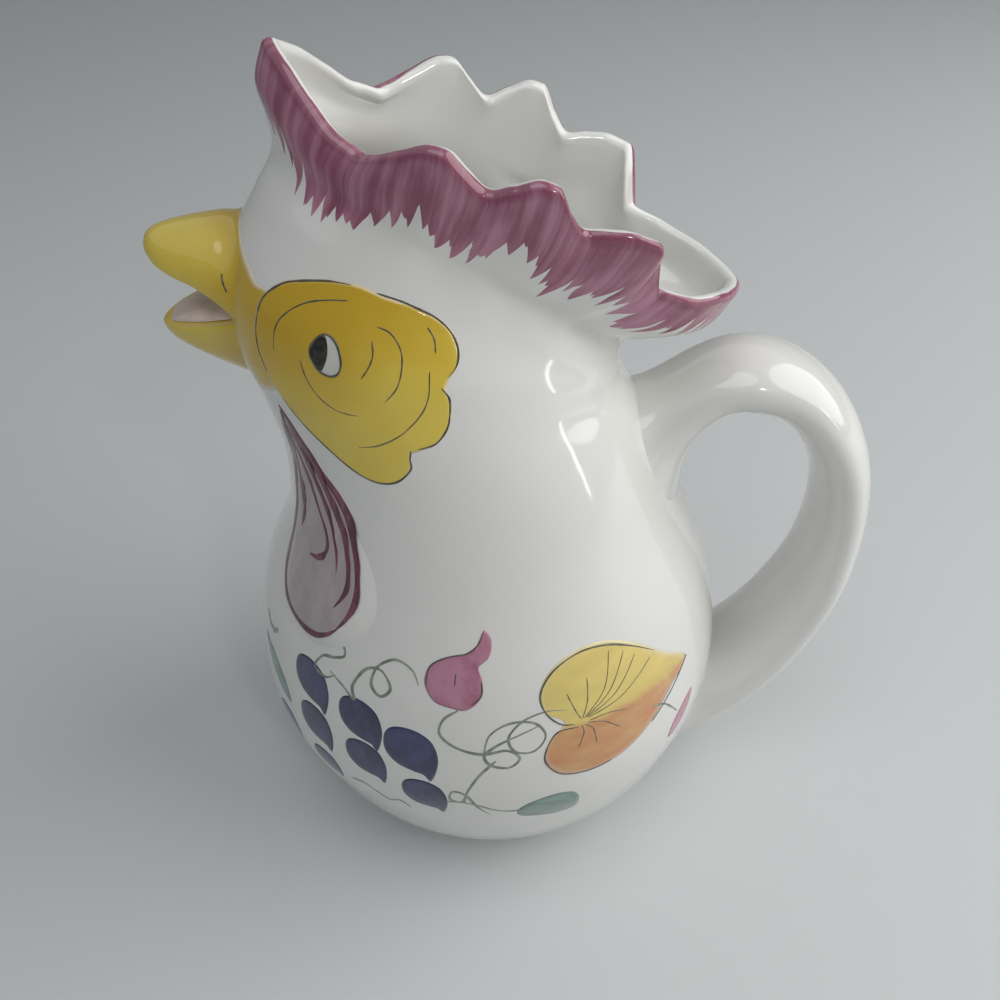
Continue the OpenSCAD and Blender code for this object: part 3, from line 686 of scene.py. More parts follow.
def brush_glaze(name, dark, light, streak=(1.0, 1.0, 1.0), scale=120, rim_shade=0.4, low=0.38, high=0.64):
    """Painted glaze whose brush marks run between two tones, deeper towards its rim."""
    glaze = Glaze(name)
    tone = glaze.range(glaze.noise(scale, 4, stretch=streak, roughness=0.6), low, high, smooth=True)
    rim = glaze.range(glaze.value("rim"), 0.72, 1.0, 0.0, rim_shade)
    tone = glaze.math("SUBTRACT", tone, rim, clamp=True)
    colour = glaze.mix(tone, tuple(dark), tuple(light))
    return glaze.finish(colour, 0.06)


# Painting on the walls.

def smooth_path(points, closed=False, steps=14):
    """Curve through drawn points."""
    points = np.array(points, float)
    if closed:
        points = np.concatenate([points[-1:], points, points[:2]])
        places = np.linspace(1, len(points) - 2, (len(points) - 3) * steps + 1)[:-1]
    else:
        places = np.linspace(0, len(points) - 1, (len(points) - 1) * steps + 1)
    return along(points, places)


class Brush:
    """Lays fills and strokes of paint on a wall as thin closed glaze, and makes one piece of them."""

    def __init__(self, vessel, side, surface=None):
        self.vessel, self.side = vessel, side
        self.surface = surface or (lambda chart, lift: vessel.place(side, chart[..., 0], chart[..., 1] * MM, lift))
        self.verts, self.faces, self.rims, self.tones = [], [], [], []
        self.count = 0

    def add(self, points, faces, rim, tone):
        self.verts.append(points)
        self.faces += [tuple(i + self.count for i in face) for face in faces]
        self.rims.append(rim)
        self.tones.append(tone)
        self.count += len(points)

    def fill(self, outline, centre, rings=14, lift=0.05, crown=0.07, tone=None):
        """A filled shape, given by its outline and a middle that sees all of it."""
        outline, centre = np.asarray(outline, float), np.asarray(centre, float)
        if np.cross(outline - centre, np.roll(outline, -1, 0) - centre).sum() < 0:
            outline = outline[::-1]
        shares, back = np.linspace(0, 1, rings + 1)[1:], np.linspace(1, 0, rings // 3 + 2)[:-1]
        lifts = np.concatenate([lift + crown * (1 - shares ** 4), np.full(len(back), -FILL_UNDERLAP)])
        shares = np.concatenate([shares, back])
        grid = centre + (outline[None] - centre) * shares[:, None, None]
        lifts = np.broadcast_to(lifts[:, None], grid.shape[:2]) * MM
        points = self.surface(grid, lifts).reshape(-1, 3)
        middle = self.surface(centre[None], np.array([(lift + crown) * MM]))
        base = self.surface(centre[None], np.array([-FILL_UNDERLAP * MM]))
        rows, columns = grid.shape[:2]
        faces = grid_faces(rows, columns, False)
        top, low = rows * columns, rows * columns + 1
        faces += [(i, top, (i + 1) % columns) for i in range(columns)]
        last = (rows - 1) * columns
        faces += [(last + i, last + (i + 1) % columns, low) for i in range(columns)]
        if self.side < 0:
            faces = [tuple(reversed(face)) for face in faces]
        points = np.concatenate([points, middle, base])
        rim = np.concatenate([np.repeat(shares, columns), [0, 1]])
        shade = np.zeros(len(points))
        if tone is not None:
            shade = np.concatenate([tone(grid.reshape(-1, 2)), tone(centre[None]), tone(centre[None])])
        self.add(points, faces, rim, shade)

    def stroke(self, path, width, lift=0.13, ends=(0.35, 0.15), press=None):
        """A brush line of a width in millimetres, thinner at its ends."""
        path = np.asarray(path, float)
        count = len(path)
        u = np.linspace(0, 1, count)
        thin = np.minimum(1, np.minimum(ends[0] + u * 9, ends[1] + (1 - u) * 6))
        thin = thin * (1 + 0.16 * np.sin(u * 17.0 + path[0, 0]) + 0.10 * np.sin(u * 41.0))
        if press is not None:
            thin = thin * np.interp(u, np.linspace(0, 1, len(press)), press)
        half = thin * width / 2 * MM
        middle = self.surface(path, np.zeros(count))
        above = self.surface(path, np.full(count, MM))
        normal = (above - middle) / MM
        run = np.gradient(middle, axis=0)
        run /= np.linalg.norm(run, axis=-1, keepdims=True)
        across = np.cross(normal, run)
        section = ((-1, -STROKE_UNDERLAP), (-0.92, lift * 0.5), (-0.45, lift * 0.92), (0, lift),
                   (0.45, lift * 0.92), (0.92, lift * 0.5), (1, -STROKE_UNDERLAP), (0, -STROKE_KEEL))
        rings = np.stack([middle + across * (half * share)[:, None] + normal * height * MM
                          for share, height in section], 1)
        sides = len(section)
        faces = grid_faces(count, sides, False)
        faces += [tuple(range(sides)), tuple((count - 1) * sides + i for i in reversed(range(sides)))]
        self.add(rings.reshape(-1, 3), [tuple(reversed(f)) for f in faces], np.zeros(count * sides),
                 np.repeat(u, sides))

    def piece(self, name, material, slot):
        mesh = bpy.data.meshes.new(name)
        mesh.from_pydata(np.concatenate(self.verts).tolist(), [], self.faces)
        mesh.shade_smooth()
        add_values(mesh, {"rim": np.concatenate(self.rims), "tone": np.concatenate(self.tones)})
        return link_piece(name, mesh, material=material)


def sketch(vessel, centre, points):
    """Places of a drawing in millimetres, to the tail and up the wall, round a place on the wall."""
    a, z = centre
    here = vessel.place(1, np.array([a, a + 0.5, a]), np.array([z, z, z + 0.5]) * MM)
    across = np.linalg.norm(here[1] - here[0]) / MM / 0.5
    climb = np.linalg.norm(here[2] - here[0]) / MM / 0.5
    points = np.asarray(points, float)
    return np.stack([a - points[..., 0] / across, z + points[..., 1] / climb], -1)


# Pieces.

class PITCHER_OT_vessel(Operator):
    """Throws the hollow body and the fluted comb as one wall, parted at the joint"""
    bl_idname = "pitcher.vessel"
    bl_label = "Body and comb"

    def execute(self, context):
        vessel = Vessel(context.scene)
        colours = context.scene.pitcher_colours
        stack, first, last, rim, angle = vessel_walls(vessel)
        normals = grid_normals(stack)
        below, around = paint_places(stack, rim, angle)
        glaze = Glaze("comb_glaze")
        material = glaze.finish(brushed_comb(glaze, colours))
        parts = np.r_[0:first + 1, last:len(stack)]
        floor = vessel.sizes.foot_height + vessel.sizes.floor
        body = rings_mesh("pitcher_body", stack[parts], start=(0, 0, vessel.sizes.foot_height),
                          end=(0, 0, floor), normals=normals[parts],
                          values={"below": below[parts], "around": around[parts]})
        link_piece("pitcher_body", body, ("body",), material)
        parts = np.r_[first:last + 1]
        comb = rings_mesh("pitcher_comb", stack[parts], closed=True, normals=normals[parts],
                          values={"below": below[parts], "around": around[parts]})
        link_piece("pitcher_comb", comb, ("comb",), material)
        return {"FINISHED"}


class PITCHER_OT_foot(Operator):
    """Turns the foot ring with its bare biscuit standing face"""
    bl_idname = "pitcher.foot"
    bl_label = "Foot ring"

    def execute(self, context):
        vessel = Vessel(context.scene)
        v = vessel.sizes
        colours = context.scene.pitcher_colours
        flush = min(v.belly_radius * FRONT_REACH[0], v.belly_half_breadth * HALF_BREADTH[0])
        outer = flush - v.foot_inset
        inner = outer - v.foot_face
        round_ = 0.0012
        profile = [(inner + 0.0002, v.foot_height + 0.0008), (inner, round_ * 1.6)]
        profile += [(inner + round_ * (1 - cos(t)), round_ * (1 - sin(t))) for t in np.linspace(0.2, pi / 2, 6)]
        profile += [(outer - round_ * (1 - sin(t)), round_ * (1 - cos(t))) for t in np.linspace(0, pi / 2, 7)]
        profile += [(outer + (flush - outer) * s, round_ + (v.foot_height - round_) * s ** 0.8)
                    for s in (0.25, 0.5, 0.75, 1.0)]
        profile += [(flush - 0.002, v.foot_height + 0.0008)]
        turns = np.arange(192) * 2 * pi / 192
        rings = np.array([[(r * cos(t), r * sin(t), z) for t in turns] for r, z in profile])
        mesh = rings_mesh("foot_ring_glazed", rings, closed=True)
        glaze = Glaze("foot_glaze", 0.12)
        height = glaze.nodes.new("ShaderNodeSeparateXYZ")
        glaze.links.new(glaze.place, height.inputs[0])
        speckle = glaze.math("MULTIPLY", glaze.noise(300, 3), 0.0004)
        bare = glaze.range(glaze.math("ADD", height.outputs["Z"], speckle), 0.0009, 0.0012, 1.0, 0.0)
        clay = glaze.mix(glaze.noise(700, 3), tuple(colours.biscuit), tuple(v * 0.82 for v in colours.biscuit))
        colour = glaze.mix(bare, glaze.white(colours.white), clay)
        rough = glaze.range(bare, 0, 1, 0.12, 0.85)
        glaze.links.new(rough, glaze.shader.inputs["Roughness"])
        link_piece("foot_ring_glazed", mesh, ("foot_ring",), glaze.finish(colour))
        return {"FINISHED"}


def strap_stations(vessel, handle):
    """Reach, height, half width and half thickness of the strap along its middle line."""
    reach = vessel.sizes.belly_radius + handle.stand_out
    top = vessel.head_back - handle.top_drop
    return np.array([[reach * HANDLE_REACH[k], handle.foot_height + (top - handle.foot_height) * HANDLE_HEIGHT[k],
                      handle.half_width * HANDLE_WIDTH[k], handle.half_thickness * HANDLE_THICKNESS[k]]
                     for k in range(len(HANDLE_REACH))])


class PITCHER_OT_handle(Operator):
    """Pulls the oval strap handle and joins both its ends to the wall"""
    bl_idname = "pitcher.handle"
    bl_label = "Handle"

    def execute(self, context):
        vessel = Vessel(context.scene)
        handle = context.scene.pitcher_handle
        stations = strap_stations(vessel, handle)
        sides, rows = 96, 220
        turn = np.arange(sides) * 2 * pi / sides

        def strap(place):
            s = along(stations, place)
            ahead = along(stations, place + 0.02) - along(stations, place - 0.02)
            run = ahead[..., :2] / np.linalg.norm(ahead[..., :2], axis=-1, keepdims=True)
            c, n = np.cos(turn), np.sin(turn)
            return np.stack([s[..., 0] - run[..., 1] * s[..., 3] * c, -s[..., 2] * n,
                             s[..., 1] + run[..., 0] * s[..., 3] * c], -1)

        def seat(inside, outside):
            inside, outside = np.full(sides, float(inside)), np.full(sides, float(outside))
            for _ in range(SEAT_HALVINGS):
                middle = (inside + outside) / 2
                p = strap(middle)
                deep = p[:, 0] - vessel.surface_x(p[:, 1], p[:, 2], False) < -HANDLE_SEAT_DEPTH
                inside, outside = np.where(deep, middle, inside), np.where(deep, outside, middle)
            return (inside + outside) / 2

        def wall_normal(ring):
            y, z, step = ring[:, 1], ring[:, 2], 0.0005
            across = vessel.surface_x(y + step, z, False) - vessel.surface_x(y - step, z, False)
            climb = vessel.surface_x(y, z + step, False) - vessel.surface_x(y, z - step, False)
            normal = np.stack([np.full(sides, 2 * step), -across, -climb], -1)
            return normal / np.linalg.norm(normal, axis=-1, keepdims=True)

        last = len(stations) - 1
        starts, ends = seat(0, HANDLE_SEAT_SPAN), seat(last, last - HANDLE_SEAT_SPAN)
        share = np.linspace(0, 1, rows + 1)[:, None]
        ease = share - 0.10 * np.sin(2 * pi * share) / (2 * pi)
        places = starts[None] + (ends - starts)[None] * ease
        rings = strap(places)
        middle = rings.mean(1, keepdims=True)
        run = distance_down(rings)
        from_end = np.minimum(run, run[-1:] - run)
        # The fillet runs out along the wall, and is fuller inside the loop.
        inner = np.clip(-np.cos(turn), 0, 1)
        reach = FILLET_REACH * (1 + FILLET_INNER_REACH * inner)
        swell = handle.fillet * (1 + FILLET_INNER_FULLNESS * inner) * np.exp(-(from_end / reach) ** FILLET_POWER)
        away = rings - middle
        away /= np.linalg.norm(away, axis=-1, keepdims=True)
        upper = np.arange(rows + 1)[:, None, None] < rows / 2
        wall = np.where(upper, wall_normal(rings[0]), wall_normal(rings[-1]))
        rings = rings + (away - (away * wall).sum(-1, keepdims=True) * wall) * swell[..., None]
        upper_cap, start = seat_cap(vessel, rings[0], False, HANDLE_SEAT_DEPTH)
        lower_cap, end = seat_cap(vessel, rings[-1], False, HANDLE_SEAT_DEPTH)
        rings = np.concatenate([upper_cap[::-1], rings, lower_cap])
        mesh = rings_mesh("strap_handle", rings[:, ::-1], start=start, end=end)
        glaze = Glaze("handle_glaze")
        material = glaze.finish(glaze.white(context.scene.pitcher_colours.white))
        link_piece("strap_handle", mesh, ("handle",), material)
        return {"FINISHED"}


class BeakShape:
    """The two parts of the beak and the lining, by place from the tips and by turn round them."""

    def __init__(self, vessel, beak):
        self.beak = beak
        self.root = vessel.sizes.belly_radius * BEAK_ROOT
        self.reach = vessel.sizes.belly_radius * FRONT_REACH[8] + beak.length
        self.corner = vessel.sizes.foot_height + vessel.rise * beak.corner_share

    def point(self, place, turn, width, line, upper, lower):
        c = np.cos(turn)
        x = -self.root - (self.reach - self.root) * (1 - along(BEAK_PLACE, place))
        return np.stack([x, -width * np.sin(turn), line + np.where(c > 0, upper, lower) * c], -1)

    def width(self, place):
        return self.beak.half_width * along(BEAK_WIDTH, place)

    def lower_line(self, place):
        return self.corner - self.beak.corner_gap / 2 - self.beak.tip_drop * along(LOWER_LINE, place)

    def upper_part(self, place, turn):
        line = self.corner + self.beak.corner_gap / 2 + self.beak.tip_rise * along(UPPER_LINE, place)
        return self.point(place, turn, self.width(place), line, self.beak.upper_height * along(UPPER_HEIGHT, place),
                          UPPER_UNDERSIDE * along(BEAK_WIDTH, place) + UPPER_UNDERSIDE * along(TIP_ROLL, place))

    def lower_part(self, place, turn):
        return self.point(place, turn, self.width(place), self.lower_line(place),
                          -0.0006 * along(BEAK_WIDTH, place), self.beak.lower_depth * along(LOWER_DEPTH, place))

    def lining(self, place, turn):
        return self.point(place, turn, self.width(place) - self.beak.tongue_margin, self.lower_line(place),
                          self.beak.tongue_swell * along(TONGUE_SWELL, place), 0.0008)

    def upper_surface(self, side):
        """Gives the points that stand off the upper beak, for places and turns in degrees."""
        def surface(chart, lift):
            place, turn = chart[..., 0], np.radians(-side * chart[..., 1])
            back = self.upper_part(place + 0.05, turn) - self.upper_part(place - 0.05, turn)
            round_ = self.upper_part(place, turn + 0.02) - self.upper_part(place, turn - 0.02)
            normal = np.cross(round_, back)
            normal /= np.linalg.norm(normal, axis=-1, keepdims=True)
            return self.upper_part(place, turn) + np.asarray(lift)[..., None] * normal
        return surface


class PITCHER_OT_beak(Operator):
    """Models the two parts of the beak and the pale lining of the open mouth"""
    bl_idname = "pitcher.beak"
    bl_label = "Beak and mouth"

    def execute(self, context):
        vessel = Vessel(context.scene)
        colours = context.scene.pitcher_colours
        shape = BeakShape(vessel, context.scene.pitcher_beak)
        sides, rows = 72, 60
        turn = np.arange(sides) * 2 * pi / sides

        def seated(name, part, first, node, material):
            inside, outside = np.full(sides, len(BEAK_PLACE) - 1.0), np.full(sides, float(first))
            for _ in range(SEAT_HALVINGS):
                middle = (inside + outside) / 2
                p = part(middle, turn)
                deep = p[:, 0] - vessel.surface_x(p[:, 1], p[:, 2], True) > BEAK_SEAT_DEPTH
                inside, outside = np.where(deep, middle, inside), np.where(deep, outside, middle)
            share = (np.linspace(0, 1, rows + 1) ** 1.25)[:, None]
            rings = part(first + ((inside + outside) / 2 - first)[None] * share, turn)
            cap, end = seat_cap(vessel, rings[-1], True, BEAK_SEAT_DEPTH)
            mesh = rings_mesh(name, np.concatenate([rings, cap]), start=rings[0].mean(0), end=end)
            share = np.concatenate([share, np.ones((len(cap), 1))])
            add_values(mesh, {"along": np.concatenate([np.repeat(share, sides), [0, 1]])})
            link_piece(name, mesh, (node,), material)

        glaze = Glaze("beak_glaze")
        cloud = glaze.math("MULTIPLY", glaze.math("SUBTRACT", glaze.noise(70, 2), 0.5), 0.8)
        tip = glaze.range(glaze.value("along"), 0.0, 0.30, 0.30, 1.0, smooth=True)
        root = glaze.range(glaze.value("along"), 0.62, 0.96, 0.0, 0.85, smooth=True)
        tone = glaze.math("ADD", glaze.math("SUBTRACT", tip, root), cloud, clamp=True)
        material = glaze.finish(glaze.mix(tone, tuple(colours.ochre), tuple(colours.yellow)), 0.06)
        seated("upper_beak_glazed", shape.upper_part, 0, "upper_beak", material)
        seated("lower_beak_glazed", shape.lower_part, 0, "lower_beak", material)
        glaze = Glaze("mouth_glaze")
        pale = glaze.mix(glaze.range(glaze.noise(140, 3), 0.4, 0.7), tuple(colours.blush),
                         tuple(v * 0.82 for v in colours.blush))
        seated("mouth_lining", shape.lining, LINING_START, "tongue", glaze.finish(pale, 0.06))
        return {"FINISHED"}


def wattle_chart(vessel, scene):
    """Drop outline of a wattle and the ways between its own places and the wall's."""
    w = scene.pitcher_wattle
    corner = vessel.sizes.foot_height + vessel.rise * scene.pitcher_beak.corner_share
    foot = corner - w.drop
    middle = np.degrees(w.middle_angle)
    centre = np.array([0, w.length * WATTLE_CENTRE])

    def edge(turn):
        drop = np.sin(turn) * np.abs(np.cos(turn / 2)) ** 2
        return np.stack([w.half_width * drop / WATTLE_WIDEST, w.length * (1 - np.cos(turn)) / 2], -1)

    def lift_of(places):
        """Swell over a place: round across, and lower towards both ends."""
        turn = np.arccos(np.clip(1 - 2 * places[..., 1] / w.length, -1, 1))
        half = np.maximum(w.half_width * np.sin(turn) * np.cos(turn / 2) ** 2 / WATTLE_WIDEST, 1e-6)
        crown = np.clip(1 - (places[..., 0] / half) ** 2, 0, 1)
        full = w.swell + WATTLE_EDGE_SINK
        return -WATTLE_EDGE_SINK + full * np.clip(half / w.half_width, 0, 1) ** 1.5 * crown

    def surface(side, places, lift, painted=False):
        """Point over a place given across and up the wattle, in metres; paint runs on over the wall."""
        z = foot + places[..., 1]
        level = vessel.level_at_height(side * middle, z)
        breadth = along(vessel.levels, level)[..., 4]
        angle = middle - np.degrees(places[..., 0] / breadth)
        swell = lift_of(places)
        return vessel.place(side, angle, z, (np.maximum(swell, 0) if painted else swell) + lift)

    return edge, centre, surface


class PITCHER_OT_wattles(Operator):
    """Models the two wattles and brushes their plum outlines on them"""
    bl_idname = "pitcher.wattles"
    bl_label = "Wattles"

    def execute(self, context):
        vessel = Vessel(context.scene)
        colours = context.scene.pitcher_colours
        edge, centre, surface = wattle_chart(vessel, context.scene)
        glaze = Glaze("wattle_glaze")
        wattle_white = glaze.finish(glaze.white(colours.white))
        wash = brush_glaze("wattle_wash", [v * 0.86 for v in colours.mauve], colours.mauve, (1.6, 1.6, 0.35), 150,
                           0.25)
        plum = brush_glaze("wattle_brush", [v * 0.34 for v in colours.plum], [v * 1.05 for v in colours.plum],
                           (1.2, 1.2, 0.3), 260, 0, 0.36, 0.78)
        for side, word in ((-1, "left"), (1, "right")):
            turns = (np.arange(160) + 0.5) * 2 * pi / 160
            shares = np.linspace(0, 1, 41)[1:]
            places = centre + (edge(turns)[None] - centre) * shares[:, None, None]
            upper = surface(side, places, np.zeros(places.shape[:2]))
            under = surface(side, places[::-1], np.full(places.shape[:2], -0.0012))
            rings = np.concatenate([upper, under])
            start = surface(side, centre[None], np.zeros(1))[0]
            end = surface(side, centre[None], np.array([-0.004]))[0]
            mesh = rings_mesh(word + "_wattle_glazed", rings if side < 0 else rings[:, ::-1], start=start, end=end)
            link_piece(word + "_wattle_glazed", mesh, (word + "_wattle",), wattle_white)
            self.brush_marks(vessel, side, word, surface, wash, plum)
        return {"FINISHED"}

    def brush_marks(self, vessel, side, word, surface, wash, plum):
        def on_wattle(chart, lift):
            return surface(side, chart * MM, lift, True)

        outline = smooth_path([(-0.6, 71), (-4.2, 62), (-7.0, 53), (-8.4, 44), (-9.2, 37), (-11.4, 29), (-13.8, 21),
                               (-14.0, 13), (-10.4, 8.2), (-4.6, 5.8), (2, 5.2), (8, 6.2), (12.6, 10), (15.0, 16),
                               (15.4, 24), (14.4, 32.5), (12.6, 40), (10.2, 47), (7.2, 53), (4.4, 59), (2.2, 64),
                               (0.6, 69)], True)
        body = Brush(vessel, side, on_wattle)
        body.fill(outline, (1.5, 24), 22, 0.03, 0.03)
        body.piece(word + "_wattle_wash", wash, "mauve_glaze")
        brush = Brush(vessel, side, on_wattle)
        strokes = [
            ([(0, 73), (0.8, 67.5), (2.3, 62.8), (4.5, 58.5), (6.7, 53.5), (9.5, 48.8), (11.6, 44.3), (13.0, 39.5),
              (14.2, 34.2), (15.2, 28.7), (15.6, 23.8), (15.3, 18.3), (14.2, 13.8), (12.4, 9.8)], 3.6,
             [0.5, 0.9, 1.2, 1.3, 1.1, 0.85, 0.8, 0.7]),
            ([(-0.2, 69), (2.3, 60.5), (4.3, 55.0), (6.4, 49.2), (8.8, 43.8), (10.8, 38.8), (12.0, 33.5),
              (12.8, 28.7), (12.9, 24.2), (12.0, 20.0), (10.4, 16.2)], 2.7, [1.1, 1.7, 1.6, 1.1, 0.85, 0.75, 0.5]),
            ([(-0.8, 64), (1.4, 57.5), (3.0, 51.8), (5.0, 46.8), (7.0, 41.8), (8.2, 36.8), (9.2, 32.0), (9.6, 27.0)],
             1.9, [1.0, 1.5, 1.2, 0.8, 0.6, 0.35]),
            ([(-2.0, 60), (-0.6, 54), (1.2, 48.5), (3.2, 43.5), (5.2, 38.8), (6.1, 34.5), (5.4, 31.2), (3.0, 28.6),
              (-0.2, 28.2)], 1.7, [1.0, 1.1, 0.7, 0.6, 0.8, 1.5, 1.4]),
            ([(-0.8, 71), (-4.2, 63), (-6.9, 53), (-8.3, 44), (-9.2, 37), (-11.3, 29.5), (-13.6, 21.5), (-14.0, 14),
              (-11.0, 8.8), (-5.6, 6.1), (0.2, 5.1), (5.6, 5.4), (9.6, 7.2), (12.6, 10.0)], 2.9,
             [0.8, 1.3, 1.3, 1.1, 1.1, 1.05, 1.1, 1.1, 1.0]),
            ([(-1.6, 66), (-3.9, 57), (-4.6, 50.5), (-3.6, 44.5), (-3.5, 38.8), (-5.4, 33.6)], 2.6,
             [0.5, 1.0, 1.3, 1.1, 0.6]),
        ]
        for path, width, press in strokes:
            brush.stroke(smooth_path(path), width, 0.14, press=press)
        brush.piece(word + "_wattle_brush", plum, "mauve_glaze")


class PITCHER_OT_face(Operator):
    """Paints the yellow face patch, its feather lines and the eye on both sides of the head"""
    bl_idname = "pitcher.face"
    bl_label = "Face"

    patch = [(141.2, 199.4), (141.5, 205.2), (139.9, 210.0), (136.1, 213.4), (131.4, 214.9), (122.6, 215.9),
             (114.0, 215.3), (106.3, 212.9), (98.9, 210.7), (92.3, 207.8), (87.2, 204.4), (83.8, 200.2),
             (82.6, 196.4), (84.1, 193.2), (84.0, 190.6), (82.4, 186.7), (83.6, 181.5), (88.0, 177.6),
             (93.5, 175.9), (97.0, 174.6), (98.6, 170.8), (103.4, 166.9), (109.1, 165.4), (114.3, 166.1),
             (118.4, 168.1), (124.5, 172.4), (130.5, 177.6), (134.6, 183.4), (137.9, 188.8), (140.2, 193.8)]
    contours = [
        ([(140.6, 205.6), (139.6, 209.6), (135.8, 213.0), (131.2, 214.6), (122.6, 215.6), (115.8, 215.2)], 0.55),
        ([(108.6, 213.6), (103, 212.1), (98.9, 210.6), (92.6, 207.8), (87.5, 204.2), (84.1, 200.2), (83.0, 196.6),
          (84.3, 194.1)], 0.5),
        ([(85.6, 191.9), (83.2, 188.9), (83.0, 185.0), (84.3, 181.2), (88.4, 177.7), (94.2, 176.3)], 0.5),
        ([(96.2, 176.0), (97.6, 173.6), (98.8, 170.6), (103.8, 167.0), (109.1, 165.7), (114.2, 166.4),
          (118.6, 168.5), (124.7, 172.8), (130.6, 178.0), (134.6, 183.8)], 0.5),
        ([(137.9, 190.4), (140.2, 195.4), (140.9, 200.6), (140.6, 205.6)], 0.4),
        ([(114.9, 211.9), (120.2, 211.7), (125.3, 210.7), (129.8, 208.1), (132.8, 204.0), (133.2, 197.7)], 0.42),
        ([(123.8, 197.5), (122.3, 193.1), (118.8, 188.2), (113.6, 185.4), (107.7, 184.8)], 0.38),
        ([(105.3, 203.6), (104.0, 200.2), (104.6, 197.3), (106.2, 194.6)], 0.42),
        ([(105.4, 206.6), (101.4, 205.0), (97.6, 201.2), (96.2, 197), (96.8, 192.5), (99.9, 188.9)], 0.42),
        ([(93.3, 205.7), (90.6, 202.9), (89.1, 199.8)], 0.42),
        ([(89.2, 196.0), (88.6, 190.0), (90.9, 185.2), (97.0, 180.4), (105.3, 176.9), (112.1, 175.6)], 0.38),
    ]

    def execute(self, context):
        vessel = Vessel(context.scene)
        colours = context.scene.pitcher_colours
        beak = BeakShape(vessel, context.scene.pitcher_beak)
        yellow = brushed_yellow("face_yellow", colours, 0.97)
        line = brush_glaze("brush_line", colours.line, [v * 2.2 for v in colours.line], scale=400, rim_shade=0)
        dark = brush_glaze("eye_dark", (0.012, 0.011, 0.010), (0.045, 0.040, 0.034), scale=500, rim_shade=0.2)
        white = Glaze("eye_white")
        pale = white.finish(white.mix(white.noise(300, 2), (0.70, 0.69, 0.66), (0.60, 0.585, 0.55)), 0.05)
        for side, word in ((-1, "left"), (1, "right")):
            patch = Brush(vessel, side)
            patch.fill(smooth_path(self.patch, True, 10), (114, 192), 24, 0.03, 0.04, self.lemon)
            patch.piece(word + "_face_patch", yellow, "yellow_glaze")
            lines = Brush(vessel, side)
            for path, width in self.contours:
                lines.stroke(smooth_path(path), width)
            eye = smooth_path([(121.0, 199.6), (119.9, 203.0), (117.3, 204.5), (113.9, 202.6), (111.9, 198.6),
                               (112.3, 195.7), (114.6, 194.6), (118.2, 195.8)], True)
            rim = np.concatenate([eye, eye[:6]])
            lines.stroke(rim, 0.62, 0.30)
            lines.piece(word + "_face_lines", line, "plum_glaze")
            ball = Brush(vessel, side)
            ball.fill(eye, (116.3, 199.4), 10, 0.12, 0.03)
            ball.piece(word + "_eye_white", pale, "white_glaze")
            pupil = Brush(vessel, side)
            pupil.fill(smooth_path([(121.0, 199.6), (119.9, 203.0), (117.6, 204.3), (116.0, 201.6), (115.9, 198.4),
                                    (117.3, 195.6), (119.4, 196.8)], True), (118.2, 199.8), 8, 0.18, 0.04)
            pupil.piece(word + "_pupil", dark, "plum_glaze")
            nostril = Brush(vessel, side, beak.upper_surface(side))
            nostril.stroke(smooth_path([(5.50, 58), (5.49, 62.5), (5.55, 67), (5.64, 71)]), 0.5)
            nostril.piece(word + "_beak_line", line, "plum_glaze")
        root = Brush(vessel, 1)
        half = [(180, 219.8), (170, 219.2), (160, 217.2), (151, 214.4), (143.5, 211.6), (136.5, 210.6), (134.5, 205),
                (134.5, 199), (134.5, 193), (135.6, 186.8), (142, 183.6), (149, 181.8), (156, 180.4), (168, 179.4),
                (180, 179.2)]
        other = [(360 - a, z) for a, z in half[-2:0:-1]]
        root.fill(smooth_path(half + other, True, 8), (180, 198), 24, 0.018, 0.0,
                  lambda chart: np.full(len(chart), 0.35))
        root.piece("beak_root_paint", brushed_yellow("root_yellow", colours, 0.92), "yellow_glaze")
        return {"FINISHED"}

    @staticmethod
    def lemon(chart):
        """Share of lemon in the yellow: none above and before the eye, all of it low and at the back."""
        low = np.clip((206 - chart[:, 1]) / 30, 0, 1)
        back = np.clip((112 - chart[:, 0]) / 34, 0, 1)
        return np.clip(0.12 + 0.75 * low + 0.45 * back, 0, 1)


